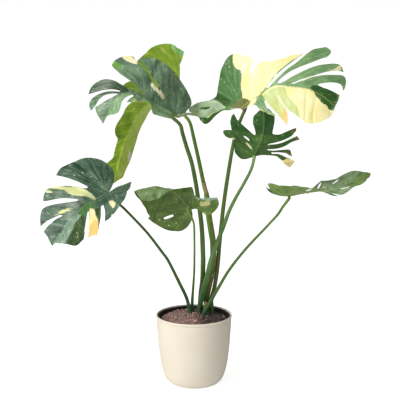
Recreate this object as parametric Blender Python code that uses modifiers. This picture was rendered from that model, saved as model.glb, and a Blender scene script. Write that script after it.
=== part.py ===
"""Potted variegated monstera: seven split leaves on stalks in a cream cover pot.

Metres, +Z up, the pot's base centre at the origin, the photographed side toward -Y.
Leaf drawings and paths below are in millimetres and are turned to metres on use.
"""
import math

import bmesh
import bpy
import numpy as np
from mathutils import Vector
from mathutils.geometry import delaunay_2d_cdt

MM = 0.001

# Cover pot, outer profile from the base centre up to the rim (radius, height)
POT_DIAMETER = 220.0
POT_HEIGHT = 204.0
POT_WALL = 4.0
POT_PROFILE = [(0, 0), (58, 0), (66, 1.2), (74, 5), (83, 15), (90, 31), (96, 55), (100, 82),
               (103, 108), (105.5, 138), (107.5, 168), (108.4, 190)]
POT_STEPS = 40
LIP_HEIGHT = 9.0

# Nursery pot inside the cover pot
NURSERY_TOP = 201.0
NURSERY_FLOOR = 7.3
NURSERY_WALL = 1.6

# Soil
SOIL_EDGE = 183.0
SOIL_BOTTOM = 10.6
HOLE_FLOOR = 150.0
SOIL_CLEAR = 202.0

# Leaf sheets
LEAF_THICKNESS = 1.1
MIDRIB_THICKNESS = 2.6
MIDRIB_HALF_WIDTH = 5.0
MESH_SPACING = 24.0
OUTLINE_TOLERANCE = 1.1

# Each leaf: spine from stalk to tip; the way its upper face looks along the spine; the fold of
# the left (+) and right (-) halves in degrees along the spine; the curl in degrees per 100 mm;
# the bend of the basal lobes; and its outline as strokes from corner to corner, each point
# (distance along the midrib, distance out from it).
LEAVES = {}

LEAVES["leaf_lower_left"] = {
    "spine": [(-237, -60, 574), (-273, -85, 558), (-312, -105, 533), (-346, -115, 493),
              (-389, -120, 433)],
    "faces": [(-0.45, -0.75, 0.5), (-0.5, -0.75, 0.35), (-0.5, -0.8, 0.2)],
    "fold": ((40, 28, 20, 15), (20, 17, 13, 10)),
    "curl": ((-8, -6, -6), (-8, -8)),
    "back_bend": -10,
    "outline": [
        [(0, 0), (-12, -6), (-30, -20), (-48, -42), (-55, -65), (-50, -89), (-40, -110),
         (-24, -127), (-2, -136), (22, -139), (45, -142), (67, -141), (84, -131)],
        [(84, -131), (75, -113), (63, -88), (50, -64), (43, -47), (43, -41), (48, -41),
         (56, -50), (70, -67), (91, -92), (107, -115), (118, -120), (131, -118), (147, -108)],
        [(147, -108), (128, -86), (105, -59), (90, -36), (84, -26), (90, -26), (100, -36),
         (119, -55), (138, -76), (154, -89), (169, -91), (189, -79), (205, -65)],
        [(205, -65), (186, -59), (163, -46), (146, -35), (142, -30), (148, -30), (160, -37),
         (188, -45), (210, -47)],
        [(210, -47), (216, -24), (226, 0)],
        [(226, 0), (214, 4), (196, 37), (181, 74), (170, 88), (150, 98)],
        [(150, 98), (134, 84), (116, 66), (98, 47), (90, 42), (92, 50), (104, 72), (122, 94),
         (140, 112)],
        [(140, 112), (126, 132), (122, 145)],
        [(122, 145), (106, 135), (82, 105), (66, 74), (60, 64), (56, 64), (58, 76), (66, 100),
         (78, 122), (85, 136)],
        [(85, 136), (68, 142), (48, 142), (26, 132), (0, 110), (-24, 84), (-46, 54), (-62, 26),
         (-70, 2)],
        [(-70, 2), (-46, 2), (-24, 3), (-10, 3), (0, 0)]],
}

LEAVES["leaf_upper_left"] = {
    "spine": [(-46, -90, 793), (-90, -120, 819), (-130, -140, 843), (-169, -155, 859),
              (-208, -165, 843), (-240, -170, 776)],
    "faces": [(-0.2, -0.65, 0.7), (-0.3, -0.65, 0.7), (-0.75, -0.6, 0.2)],
    "fold": ((26, 25, 20), (42, 36, 20)),
    "curl": ((-2, -2), (-8, -10)),
    "back_bend": 0,
    "outline": [
        [(0, 0), (-12, -7), (-26, -22), (-34, -38), (-31, -50), (-18, -64), (2, -78), (20, -90),
         (45, -101), (75, -104), (100, -108), (122, -109), (136, -103), (145, -93)],
        [(145, -93), (138, -81), (122, -66), (103, -56), (91, -44), (89, -38), (95, -39),
         (104, -46), (118, -54), (130, -64), (139, -72), (147, -85), (151, -100), (160, -100),
         (170, -94), (175, -84)],
        [(175, -84), (174, -74), (167, -49), (153, -30), (136, -16), (118, -9), (114, -6),
         (120, -5), (140, -6), (159, -10), (171, -22), (180, -40), (190, -60), (200, -71),
         (211, -75), (222, -73)],
        [(222, -73), (208, -50), (197, -32), (184, -14), (178, -7), (182, -7), (192, -18),
         (203, -34), (218, -52), (233, -62), (249, -62), (257, -52)],
        [(257, -52), (241, -44), (225, -40), (210, -31), (199, -18), (190, -7), (186, -4),
         (192, -4), (205, -10), (222, -24), (244, -42)],
        [(244, -42), (256, -30), (266, -16), (276, 0)],
        [(276, 0), (255, 2), (246, 22), (240, 45), (234, 68), (226, 80)],
        [(226, 80), (205, 66), (180, 44), (160, 26), (150, 18), (150, 24), (158, 40), (172, 58),
         (186, 76)],
        [(186, 76), (166, 80), (150, 70), (132, 48), (114, 28), (104, 20), (98, 22), (96, 34),
         (98, 54), (96, 72)],
        [(96, 72), (82, 73), (68, 77), (55, 78)],
        [(55, 78), (47, 56), (38, 36), (26, 18), (12, 8), (0, 0)]],
}

LEAVES["leaf_back"] = {
    "spine": [(-20, 50, 791), (-75, 100, 809), (-129, 150, 805), (-175, 180, 759),
              (-211, 190, 677), (-245, 190, 559)],
    "faces": [(0.1, 0.85, 0.5), (-0.2, 0.85, 0.4), (-0.5, 0.8, 0.1), (-0.4, 0.9, -0.1)],
    "fold": ((8, 5, 0, 0), (72, 50, 42, 45)),
    "curl": ((-6, -6), (-6, -6)),
    "back_bend": 0,
    "outline": [
        [(0, 0), (-5, 8), (0, 24), (12, 50), (20, 80), (18, 112), (6, 142), (-12, 172),
         (-31, 205)],
        [(-31, 205), (-6, 209), (22, 210), (44, 205), (66, 194), (81, 177), (104, 156),
         (130, 134)],
        [(130, 134), (116, 96), (104, 62), (98, 40), (102, 34), (110, 44), (126, 74), (146, 98),
         (168, 100)],
        [(168, 100), (164, 70), (156, 44), (154, 30), (160, 26), (172, 36), (192, 42),
         (229, 42), (256, 46), (274, 46), (286, 42)],
        [(286, 42), (294, 36), (302, 26), (312, 25), (340, 24), (363, 24), (382, 36),
         (402, 34)],
        [(402, 34), (424, 18), (437, 0), (430, -28), (420, -52)],
        [(420, -52), (406, -61), (390, -68), (372, -76), (352, -86), (332, -92)],
        [(332, -92), (320, -82), (311, -74), (307, -78), (308, -94)],
        [(308, -94), (283, -93), (247, -92), (216, -88), (190, -90), (168, -96)],
        [(168, -96), (154, -72), (142, -50), (134, -42), (128, -48), (126, -72), (118, -104)],
        [(118, -104), (92, -98), (66, -84), (44, -64), (26, -42), (12, -22), (0, 0)]],
}

LEAVES["leaf_middle"] = {
    "spine": [(-5, -130, 536), (-37, -115, 567), (-69, -115, 593), (-119, -130, 601),
              (-166, -150, 589)],
    "faces": [(0.15, 0.9, 0.4), (0.05, 0.9, 0.4), (-0.1, 0.7, 0.7)],
    "fold": ((5, -40, -80, -70), (5, 0, -5, -10)),
    "curl": ((-5, -5), (-3, -3)),
    "back_bend": 0,
    "outline": [
        [(0, 0), (-10, -10), (-18, -28), (-20, -50), (-14, -76), (2, -97), (24, -111),
         (50, -117), (80, -116), (109, -108), (132, -96), (150, -83), (165, -62), (173, -42),
         (184, -20), (190, 0)],
        [(190, 0), (188, 26), (190, 50)],
        [(190, 50), (176, 64), (160, 68), (140, 62), (122, 56), (104, 64), (90, 69), (74, 66)],
        [(74, 66), (60, 64), (50, 62), (44, 66), (38, 70), (32, 68), (24, 54), (14, 41),
         (0, 46), (-14, 64), (-33, 84)],
        [(-33, 84), (-46, 76), (-52, 60), (-50, 36), (-44, 24), (-32, 19), (-16, 15), (-6, 10),
         (0, 0)]],
    "holes": [[(46, -85), (42, -87), (35, -73), (30, -59), (34, -57), (41, -71)]],
}

LEAVES["leaf_upper_right"] = {
    "spine": [(129, -30, 804), (160, -60, 832), (191, -85, 852), (230, -110, 869),
              (283, -140, 871), (335, -165, 853), (376, -180, 822)],
    "faces": [(-0.15, -0.85, 0.5), (0, -0.75, 0.65), (0.2, -0.6, 0.75)],
    "fold": ((10, 5), (-10, -20)),
    "curl": ((-4, -4), (-14, -14)),
    "back_bend": 6,
    "outline": [
        [(0, 0), (-14, 8), (-34, 14), (-58, 26), (-78, 28), (-96, 26), (-112, 22), (-126, 21),
         (-138, 26), (-144, 38), (-150, 56), (-163, 72), (-173, 85), (-168, 94), (-152, 95),
         (-134, 93), (-110, 85), (-84, 76), (-62, 76), (-51, 90), (-39, 104), (-20, 127),
         (1, 142), (26, 154), (41, 152), (56, 137), (68, 125), (79, 109)],
        [(79, 109), (72, 96), (67, 78), (68, 70), (73, 70), (80, 80), (96, 94), (112, 90),
         (127, 86), (141, 90), (152, 96), (164, 105), (184, 112)],
        [(184, 112), (168, 84), (152, 60), (132, 34), (114, 16), (106, 9), (112, 8), (124, 14),
         (142, 30), (160, 56), (178, 84), (188, 108), (197, 133), (205, 145), (216, 158)],
        [(216, 158), (228, 152), (228, 130), (219, 114), (205, 88), (186, 66), (163, 42),
         (147, 24), (141, 14), (146, 11), (158, 16), (166, 22), (192, 48), (213, 76), (228, 96),
         (248, 119), (260, 126), (268, 121), (275, 112)],
        [(275, 112), (263, 104), (249, 84), (231, 57), (214, 36), (190, 18), (179, 10),
         (186, 10), (205, 22), (225, 44), (244, 64), (263, 84), (278, 101), (288, 97),
         (300, 77), (305, 59)],
        [(305, 59), (293, 70), (284, 68), (269, 54), (254, 37), (247, 26), (256, 25), (271, 29),
         (290, 35), (306, 41)],
        [(306, 41), (315, 20), (320, 0), (327, -18), (329, -32), (321, -56), (307, -78),
         (288, -88), (260, -84), (236, -80), (209, -74), (181, -62), (158, -42), (146, -28),
         (142, -25), (144, -32), (154, -42), (170, -56), (190, -77), (204, -98), (206, -111)],
        [(206, -111), (188, -104), (166, -92), (144, -80), (124, -70), (108, -50), (98, -30),
         (94, -22), (92, -28), (96, -46), (106, -62), (120, -76)],
        [(120, -76), (111, -74), (88, -56), (68, -38), (60, -24), (46, -15), (28, -11),
         (10, -9), (0, 0)]],
}

LEAVES["leaf_small"] = {
    "spine": [(168, -35, 669), (180, -45, 698), (191, -50, 729), (195, -52, 769),
              (192, -50, 807)],
    "faces": [(0.1, 0.9, 0.35), (0.05, 0.9, 0.3), (0, 0.9, 0.3)],
    "fold": ((5, 5), (5, 5)),
    "curl": ((-8, -8), (-8, -8)),
    "back_bend": 0,
    "outline": [
        [(0, 0), (-7, -8), (-16, -18), (-20, -28), (-18, -38), (-10, -53), (3, -60), (20, -66),
         (27, -74), (26, -92), (33, -104), (39, -108), (44, -102), (52, -88)],
        [(52, -88), (66, -88), (84, -91), (106, -94), (130, -90), (138, -82)],
        [(138, -82), (129, -78), (114, -73), (94, -59), (74, -37), (64, -24), (68, -20),
         (85, -25), (102, -31), (123, -29), (134, -18), (141, -8), (145, 8), (136, 20),
         (120, 29), (107, 29), (93, 27), (82, 26), (76, 28), (77, 45), (85, 63), (92, 80),
         (95, 90)],
        [(95, 90), (89, 90), (82, 84), (76, 78), (67, 60), (60, 43), (53, 27), (49, 20),
         (50, 25), (55, 40), (60, 53), (67, 70), (74, 84), (79, 95)],
        [(79, 95), (73, 104)],
        [(73, 104), (70, 94), (66, 83), (57, 68), (48, 52), (40, 36), (36, 26), (34, 28),
         (38, 42), (46, 58), (53, 78), (53, 88), (43, 99)],
        [(43, 99), (43, 89), (45, 79), (41, 63), (33, 46), (30, 40), (28, 44), (34, 62),
         (33, 85), (31, 111)],
        [(31, 111), (10, 106)],
        [(10, 106), (12, 94), (19, 78), (25, 60), (23, 46), (16, 24), (8, 10), (0, 0)]],
    "holes": [[(49, -50), (48, -42), (43, -31), (39, -31), (42, -41), (46, -49)]],
}

LEAVES["leaf_right"] = {
    "spine": [(266, -10, 553), (315, 0, 562), (366, 10, 567), (433, 20, 583), (510, 30, 613)],
    "faces": [(-0.2, 0.35, 0.9), (-0.05, -0.06, 0.99), (-0.25, 0.5, 0.83)],
    "fold": ((26, -5, 12, 60), (8, 5, -6, -36)),
    "curl": ((-4, -4), (-4, -4)),
    "back_bend": 78,
    "outline": [
        [(0, 0), (-12, 8), (-30, 15), (-52, 24), (-70, 40), (-76, 62), (-64, 84), (-36, 100),
         (4, 106), (40, 105), (76, 100), (106, 99), (134, 95), (160, 90), (186, 79), (206, 66),
         (222, 52)],
        [(222, 52), (236, 28), (254, 0)],
        [(254, 0), (240, -26), (222, -50)],
        [(222, -50), (206, -62), (190, -72), (172, -82), (154, -88), (138, -90)],
        [(138, -90), (123, -72), (108, -52), (99, -41), (94, -43), (98, -53), (109, -72),
         (124, -94)],
        [(124, -94), (100, -97), (70, -95), (34, -93), (0, -91), (-32, -87), (-58, -77),
         (-72, -60), (-73, -42), (-56, -26), (-32, -16), (-12, -8), (0, 0)]],
    "holes": [[(42, 42), (50, 58), (59, 76), (66, 82), (63, 70), (56, 54), (48, 42)],
              [(94, 43), (104, 58), (116, 74), (124, 80), (121, 70), (110, 54), (100, 43)],
              [(144, 40), (155, 52), (168, 64), (174, 66), (168, 56), (158, 45), (149, 38)],
              [(44, -46), (48, -58), (56, -72), (62, -76), (60, -64), (54, -52), (48, -44)],
              [(146, -38), (156, -50), (167, -61), (173, -63), (167, -53), (158, -43),
               (150, -36)]],
}

# Each stalk: its leaf, its path from the soil up (the last millimetres rise square to the leaf),
# and (height, radius) pairs along it.
STALKS = {
    "stalk_lower_left": ("leaf_lower_left", [(-11, 24, 150), (-12, 24, 209), (-17, 21, 230),
                         (-24, 16, 254), (-40, 2, 292), (-72, -28, 367), (-90, -37, 396),
                         (-129, -42, 450), (-169, -44, 495), (-206, -45, 533)],
                         [(150, 5.2), (210, 5.2), (284, 4.8), (450, 3.8), (574, 3.6)]),
    "stalk_upper_left": ("leaf_upper_left", [(17, 66, 150), (19, 62, 229), (21, 51, 260),
                         (25, 31, 298), (26, 6, 337), (26, -24, 388), (22, -43, 473),
                         (11, -57, 562), (4, -63, 609), (-6, -71, 659), (-20, -76, 703),
                         (-31, -80, 742), (-37, -82, 764)],
                         [(150, 7.6), (300, 7.4), (560, 6.2), (740, 5.4), (793, 4.4)]),
    "stalk_back": ("leaf_back", [(38, 61, 150), (37, 60, 237), (43, 52, 271), (50, 40, 312),
                   (55, 29, 353), (55, 18, 407), (50, 17, 445), (43, 19, 488), (36, 21, 553),
                   (29, 23, 579), (15, 26, 646), (0, 28, 713), (-12, 31, 760)],
                   [(150, 8.6), (440, 8.8), (548, 8.0), (562, 6.2), (640, 5.6), (791, 4.4)]),
    "stalk_middle": ("leaf_middle", [(-3, 35, 150), (-5, 34, 214), (-5, 28, 238), (-2, 3, 287),
                     (1, -40, 342), (2, -89, 402), (2, -110, 449), (0, -131, 500)],
                     [(150, 4.6), (215, 4.6), (260, 3.9), (320, 3.2), (450, 2.8), (536, 2.9)]),
    "stalk_upper_right": ("leaf_upper_right", [(53, 42, 150), (51, 41, 237), (59, 40, 270),
                          (65, 37, 307), (70, 33, 351), (74, 27, 407), (79, 20, 462),
                          (85, 12, 523), (96, 5, 605), (110, -6, 694), (123, -14, 750)],
                          [(150, 6.2), (400, 6.2), (600, 5.6), (804, 4.6)]),
    "stalk_small": ("leaf_small", [(14, 43, 150), (18, 41, 220), (22, 34, 246), (30, 18, 280),
                    (39, -3, 318), (50, -27, 373), (68, -38, 429), (84, -36, 470),
                    (100, -36, 515), (119, -38, 555), (139, -40, 591), (160, -46, 634)],
                    [(150, 7.8), (215, 7.8), (300, 8.2), (440, 6.0), (600, 4.4), (669, 4.2)]),
    "stalk_right": ("leaf_right", [(29, 11, 150), (34, 11, 212), (42, 10, 228), (54, 8, 251),
                    (69, 5, 278), (103, -2, 338), (149, -6, 399), (201, -8, 457),
                    (238, -10, 499), (254, -12, 524)],
                    [(150, 6.0), (220, 6.0), (300, 4.6), (457, 3.6), (551, 4.0)]),
}

CROWN_CENTRE = (35, 33)
CROWN_RADIUS = 8.0
CROWN_TOP = 232.0

COLOURS = {
    "leaf_lower_left": (0.10, 0.18, 0.12), "leaf_upper_left": (0.13, 0.20, 0.13),
    "leaf_back": (0.24, 0.35, 0.05), "leaf_middle": (0.12, 0.19, 0.05),
    "leaf_upper_right": (0.75, 0.72, 0.42), "leaf_small": (0.05, 0.13, 0.03),
    "leaf_right": (0.16, 0.24, 0.09), "stalk": (0.06, 0.11, 0.02), "soil": (0.06, 0.04, 0.035),
    "nursery_pot": (0.02, 0.02, 0.022), "cover_pot": (0.85, 0.80, 0.70),
}


def clear_scene():
    """Removes every object and collection that the file started with."""
    for thing in list(bpy.data.objects):
        bpy.data.objects.remove(thing, do_unlink=True)
    for group in list(bpy.data.collections):
        bpy.data.collections.remove(group)


def make_collection(name):
    """A new collection under the scene."""
    group = bpy.data.collections.new(name)
    bpy.context.scene.collection.children.link(group)
    return group


def make_material(name, colour, roughness):
    """A plain surface of one colour."""
    material = bpy.data.materials.new(name)
    material.use_nodes = True
    shader = material.node_tree.nodes["Principled BSDF"]
    shader.inputs["Base Color"].default_value = (colour[0], colour[1], colour[2], 1.0)
    shader.inputs["Roughness"].default_value = roughness
    shader.inputs["Metallic"].default_value = 0.0
    return material


def add_object(group, name, mesh, material):
    """Puts a mesh into the collection as a named object."""
    thing = bpy.data.objects.new(name, mesh)
    mesh.materials.append(material)
    group.objects.link(thing)
    return thing


def smooth_path(points, pieces):
    """Points of a smooth curve through the given points (Catmull-Rom)."""
    points = np.asarray(points, float)
    first = 2 * points[0] - points[1]
    last = 2 * points[-1] - points[-2]
    ring = np.vstack([first, points, last])
    steps = np.linspace(0, 1, pieces, endpoint=False)[:, None]
    out = []
    for i in range(1, len(ring) - 2):
        a, b, c, d = ring[i - 1], ring[i], ring[i + 1], ring[i + 2]
        out.append(0.5 * (2 * b + (c - a) * steps + (2 * a - 5 * b + 4 * c - d) * steps ** 2
                          + (3 * b - a - 3 * c + d) * steps ** 3))
    out.append(points[-1][None])
    return np.vstack(out)


def unit(vectors):
    """Vectors of length one."""
    vectors = np.asarray(vectors, float)
    return vectors / np.linalg.norm(vectors, axis=-1, keepdims=True)


def along(table, share):
    """The value of an evenly spaced table at a share 0 to 1 of its length."""
    return np.interp(share, np.linspace(0, 1, len(table)), table)


class LeafSurface:
    """The bent sheet that a flat leaf drawing is laid on."""

    def __init__(self, leaf):
        curve = smooth_path(leaf["spine"], 40)
        reach = np.linalg.norm(np.diff(curve, axis=0), axis=1)
        run = np.concatenate([[0], np.cumsum(reach)])
        self.length = run[-1]
        self.stations = np.linspace(0, self.length, 160)
        self.middle = np.stack([np.interp(self.stations, run, curve[:, k]) for k in range(3)], 1)
        tangent = unit(np.gradient(self.middle, self.stations, axis=0))
        for _ in range(6):
            tangent[1:-1] = unit(tangent[:-2] + 2 * tangent[1:-1] + tangent[2:])
        faces = unit(leaf["faces"])
        share = self.stations / self.length
        normal = np.stack([along(faces[:, k], share) for k in range(3)], 1)
        self.tangent = tangent
        self.normal = unit(normal - (normal * tangent).sum(1)[:, None] * tangent)
        self.fold = leaf["fold"]
        self.curl = leaf["curl"]
        self.back_bend = leaf["back_bend"]

    def frame(self, u):
        """Midrib point, tangent and upper-face direction at a distance along the midrib."""
        inside = np.clip(u, 0, self.length)

        def read(rows):
            return np.stack([np.interp(inside, self.stations, rows[:, k]) for k in range(3)], -1)

        point, tangent, normal = read(self.middle), unit(read(self.tangent)), read(self.normal)
        normal = unit(normal - (normal * tangent).sum(-1)[..., None] * tangent)
        side = np.cross(normal, tangent)
        beyond = np.asarray(u - inside, float)
        behind = np.minimum(beyond, 0)
        bend = math.radians(self.back_bend) / 100.0
        if abs(bend) > 1e-9:
            angle = (-bend * behind)[..., None]
            point = point - tangent * np.sin(angle) / bend + normal * (1 - np.cos(angle)) / bend
            normal = normal * np.cos(angle) + tangent * np.sin(angle)
        else:
            point = point + tangent * behind[..., None]
        point = point + tangent * np.maximum(beyond, 0)[..., None]
        return point, normal, side

    def at(self, u, v):
        """Points in space (mm) of flat drawing points."""
        u, v = np.asarray(u, float), np.asarray(v, float)
        point, normal, side = self.frame(u)
        share = np.clip(u / self.length, 0, 1)
        left = v >= 0
        out = np.abs(v)
        fold = np.radians(np.where(left, along(self.fold[0], share), along(self.fold[1], share)))
        curl = np.radians(np.where(left, along(self.curl[0], share), along(self.curl[1], share)))
        curl = curl / 100.0
        across = (np.sin(fold + curl * out) - np.sin(fold)) / curl
        up = (np.cos(fold) - np.cos(fold + curl * out)) / curl
        return point + side * (np.sign(v) * across)[..., None] + normal * up[..., None]


def thin_line(points, tolerance):
    """Drops points that lie within the tolerance of the line without them."""
    if len(points) < 3:
        return [tuple(p) for p in points]
    start, end = np.asarray(points[0], float), np.asarray(points[-1], float)
    chord = end - start
    size = np.linalg.norm(chord)
    rest = np.asarray(points[1:-1], float) - start
    if size < 1e-9:
        away = np.linalg.norm(rest, axis=1)
    else:
        away = np.abs(rest[:, 0] * chord[1] - rest[:, 1] * chord[0]) / size
    worst = int(np.argmax(away))
    if away[worst] < tolerance:
        return [tuple(points[0]), tuple(points[-1])]
    head = thin_line(points[:worst + 2], tolerance)
    tail = thin_line(points[worst + 1:], tolerance)
    return head[:-1] + tail


def flat_outline(strokes, tolerance):
    """Closed outline (mm) from corner-to-corner strokes."""
    ring = []
    for stroke in strokes:
        curve = smooth_path(stroke, 8) if len(stroke) > 2 else np.asarray(stroke, float)
        ring.extend(thin_line([tuple(p) for p in curve], tolerance)[:-1])
    return ring


def inside_ring(ring, u, v):
    """Whether a flat point lies inside a closed outline."""
    found = False
    count = len(ring)
    for i in range(count):
        (u0, v0), (u1, v1) = ring[i], ring[(i + 1) % count]
        if (v0 > v) != (v1 > v):
            if u < u0 + (u1 - u0) * (v - v0) / (v1 - v0):
                found = not found
    return found


def ring_distance(ring, u, v):
    """Distance from a flat point to a closed outline."""
    a = np.asarray(ring, float)
    b = np.roll(a, -1, axis=0)
    edge = b - a
    length = (edge ** 2).sum(1)
    share = np.clip(((np.array([u, v]) - a) * edge).sum(1) / length, 0, 1)
    near = a + edge * share[:, None]
    return float(np.linalg.norm(near - np.array([u, v]), axis=1).min())


def inner_points(rings, spacing):
    """Grid points inside the leaf, on and beside the midrib and clear of the edges."""
    outer = np.asarray(rings[0])
    points = []
    rows = [0.0, MIDRIB_HALF_WIDTH, -MIDRIB_HALF_WIDTH]
    out = MIDRIB_HALF_WIDTH + spacing * 0.75
    while out < np.abs(outer[:, 1]).max():
        rows += [out, -out]
        out += spacing
    start = outer[:, 0].min() - spacing
    for index, v in enumerate(sorted(rows)):
        step = spacing if abs(v) > MIDRIB_HALF_WIDTH else spacing * 0.8
        u = start + (step / 2 if index % 2 else 0.0)
        while u < outer[:, 0].max():
            clear = min(ring_distance(ring, u, v) for ring in rings)
            kept = inside_ring(rings[0], u, v)
            kept = kept and not any(inside_ring(ring, u, v) for ring in rings[1:])
            if kept and clear > (spacing * 0.3 if abs(v) > 6 else 2.0):
                points.append((u, v))
            u += step
    return points


def leaf_sheet(leaf, spacing, tolerance):
    """Flat points and triangles of one leaf."""
    rings = [flat_outline(leaf["outline"], tolerance)]
    for hole in leaf.get("holes", []):
        rings.append(flat_outline([hole + [hole[0]]], tolerance))
    points, edges = [], []
    for ring in rings:
        base = len(points)
        points += ring
        edges += [(base + i, base + (i + 1) % len(ring)) for i in range(len(ring))]
    points += inner_points(rings, spacing)
    result = delaunay_2d_cdt([Vector(p) for p in points], edges, [], 0, 0.01)
    flat = [(p.x, p.y) for p in result[0]]
    faces = []
    for face in result[2]:
        u = sum(flat[i][0] for i in face) / len(face)
        v = sum(flat[i][1] for i in face) / len(face)
        hollow = any(inside_ring(ring, u, v) for ring in rings[1:])
        if inside_ring(rings[0], u, v) and not hollow:
            faces.append(upward(flat, face))
    used = sorted({i for face in faces for i in face})
    place = {old: new for new, old in enumerate(used)}
    return [flat[i] for i in used], [tuple(place[i] for i in face) for face in faces]


def upward(flat, face):
    """A flat triangle with its corners ordered to face up."""
    a, b, c = (flat[i] for i in face[:3])
    area = (b[0] - a[0]) * (c[1] - a[1]) - (b[1] - a[1]) * (c[0] - a[0])
    return tuple(face) if area > 0 else tuple(reversed(face))


def leaf_object(group, name, leaf):
    """Leaf blade: its bent upper sheet, made solid downward and thicker along the midrib."""
    surface = LeafSurface(leaf)
    flat, faces = leaf_sheet(leaf, MESH_SPACING, OUTLINE_TOLERANCE)
    places = surface.at(np.array([p[0] for p in flat]), np.array([p[1] for p in flat])) * MM
    mesh = bpy.data.meshes.new(name)
    mesh.from_pydata([tuple(place) for place in places], [], faces)
    mesh.shade_smooth()
    blade = add_object(group, name, mesh, make_material(name, COLOURS[name], 0.4))
    rib = [i for i, point in enumerate(flat) if abs(point[1]) < 0.5]
    blade.vertex_groups.new(name="midrib").add(rib, 1.0, "REPLACE")
    solid = blade.modifiers.new("blade", "SOLIDIFY")
    solid.thickness = MIDRIB_THICKNESS * MM
    solid.offset = -1.0
    solid.vertex_group = "midrib"
    solid.thickness_vertex_group = LEAF_THICKNESS / MIDRIB_THICKNESS
    return blade


def stalk_path(leaf_name, points):
    """The stalk's path with its last stretch square to the underside of its leaf."""
    surface = LeafSurface(LEAVES[leaf_name])
    point, normal, _ = surface.frame(np.array([4.0]))
    u, v = np.meshgrid(np.linspace(-3, 11, 8), np.linspace(-6, 6, 7))
    lowest = ((surface.at(u.ravel(), v.ravel()) - point[0]) @ normal[0]).min()
    end = point[0] + normal[0] * (min(lowest, 0.0) - MIDRIB_THICKNESS - 0.45)
    knee = end - normal[0] * 12.0
    neck = end - normal[0] * 4.0
    foot = [points[0], (points[0][0], points[0][1], SOIL_CLEAR)]
    run = foot + list(points[1:]) + [tuple(knee), tuple(neck)]
    return np.vstack([smooth_path(run, 2), end])


def tube_object(group, name, path, radii, colour):
    """A closed round stem along a path, with its own radius at each point."""
    curve = bpy.data.curves.new(name, "CURVE")
    curve.dimensions = "3D"
    curve.bevel_depth = MM
    curve.bevel_resolution = 2
    curve.use_fill_caps = True
    line = curve.splines.new("POLY")
    line.points.add(len(path) - 1)
    for knot, place, radius in zip(line.points, path, radii):
        knot.co = (place[0] * MM, place[1] * MM, place[2] * MM, 1.0)
        knot.radius = radius
    return add_object(group, name, curve, make_material(name, colour, 0.5))


def stalk_object(group, name):
    """One leaf stalk."""
    leaf_name, points, sizes = STALKS[name]
    path = stalk_path(leaf_name, points)
    heights = [h for h, _ in sizes]
    radii = np.interp(np.minimum(path[:, 2], heights[-1]), heights, [r for _, r in sizes])
    return tube_object(group, name, path, radii, COLOURS["stalk"])


def crown_object(group):
    """The short thick stem among the stalk bases."""
    x, y = CROWN_CENTRE
    path = [(x, y, HOLE_FLOOR), (x, y, 208), (x, y, 220), (x, y, 227), (x, y, CROWN_TOP)]
    radii = [CROWN_RADIUS, CROWN_RADIUS, CROWN_RADIUS * 0.94, CROWN_RADIUS * 0.7, 2.4]
    return tube_object(group, "crown", path, radii, COLOURS["stalk"])


def turned_object(group, name, profile, steps, colour, roughness):
    """A turned solid from a profile (radius, height) that ends on the axis at both ends."""
    mesh = bpy.data.meshes.new(name)
    verts = [(radius * MM, 0.0, height * MM) for radius, height in profile]
    mesh.from_pydata(verts, [(i, i + 1) for i in range(len(verts) - 1)], [])
    thing = add_object(group, name, mesh, make_material(name, colour, roughness))
    turn = thing.modifiers.new("turn", "SCREW")
    turn.axis = "Z"
    turn.angle = 2 * math.pi
    turn.steps = steps
    turn.render_steps = steps
    turn.use_merge_vertices = True
    turn.merge_threshold = 0.00002
    turn.use_smooth_shade = True
    return thing


def pot_inner_radius(height):
    """Inner radius of the cover pot at a height."""
    radii = [r for r, _ in POT_PROFILE[1:]]
    heights = [h for _, h in POT_PROFILE[1:]]
    return float(np.interp(height, heights, radii)) - POT_WALL


def cover_pot_profile():
    """From the inner floor up the inner wall, over the lip and down the outside to the base."""
    rim = POT_DIAMETER / 2
    inner = [(pot_inner_radius(h), h) for h in (18, 31, 55, 82, 108, 138, 168)]
    lip = [(rim - 4.6, POT_HEIGHT - 2), (rim - 3.6, POT_HEIGHT), (rim - 0.9, POT_HEIGHT),
           (rim, POT_HEIGHT - 3), (109.4, POT_HEIGHT - LIP_HEIGHT + 1.2),
           (108.6, POT_HEIGHT - LIP_HEIGHT)]
    return [(0, 7), (64, 7), (74, 11)] + inner + lip + POT_PROFILE[::-1]


def nursery_profile():
    """Profile of the dark nursery pot standing in the cover pot."""
    top = NURSERY_TOP
    wall = NURSERY_WALL
    inner = [(0, NURSERY_FLOOR + 3), (62 - wall, NURSERY_FLOOR + 3), (92 - wall, 100),
             (101.2 - wall, top - 11), (103.8 - wall, top)]
    outer = [(104.6, top), (103.6, top - 13), (101.5, top - 14), (92, 100), (62, NURSERY_FLOOR),
             (0, NURSERY_FLOOR)]
    return inner + outer


def soil_profile():
    """Profile of the soil filling the nursery pot."""
    side = NURSERY_WALL + 0.5
    rings = [(radius, SOIL_EDGE) for radius in (14, 27, 40, 53, 66, 78, 88, 97)]
    return [(0, SOIL_EDGE)] + rings + [(100.3 - side, SOIL_EDGE - 2), (91.8 - side, 100),
                                       (61.4 - side, SOIL_BOTTOM), (0, SOIL_BOTTOM)]


def soil_height(x, y):
    """Uneven soil: a mound toward the left and small lumps, fading at the pot's wall."""
    fade = max(0.0, 1.0 - (math.hypot(x, y) / 98.0) ** 4)
    mound = 7.0 * math.exp(-((x + 45) ** 2 + (y - 15) ** 2) / 2600.0)
    lumps = 1.3 * math.sin(x / 7.0 + 1.0) * math.cos(y / 6.0) + 0.9 * math.sin((x - y) / 4.3)
    return (5.0 + mound + lumps) * fade


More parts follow.
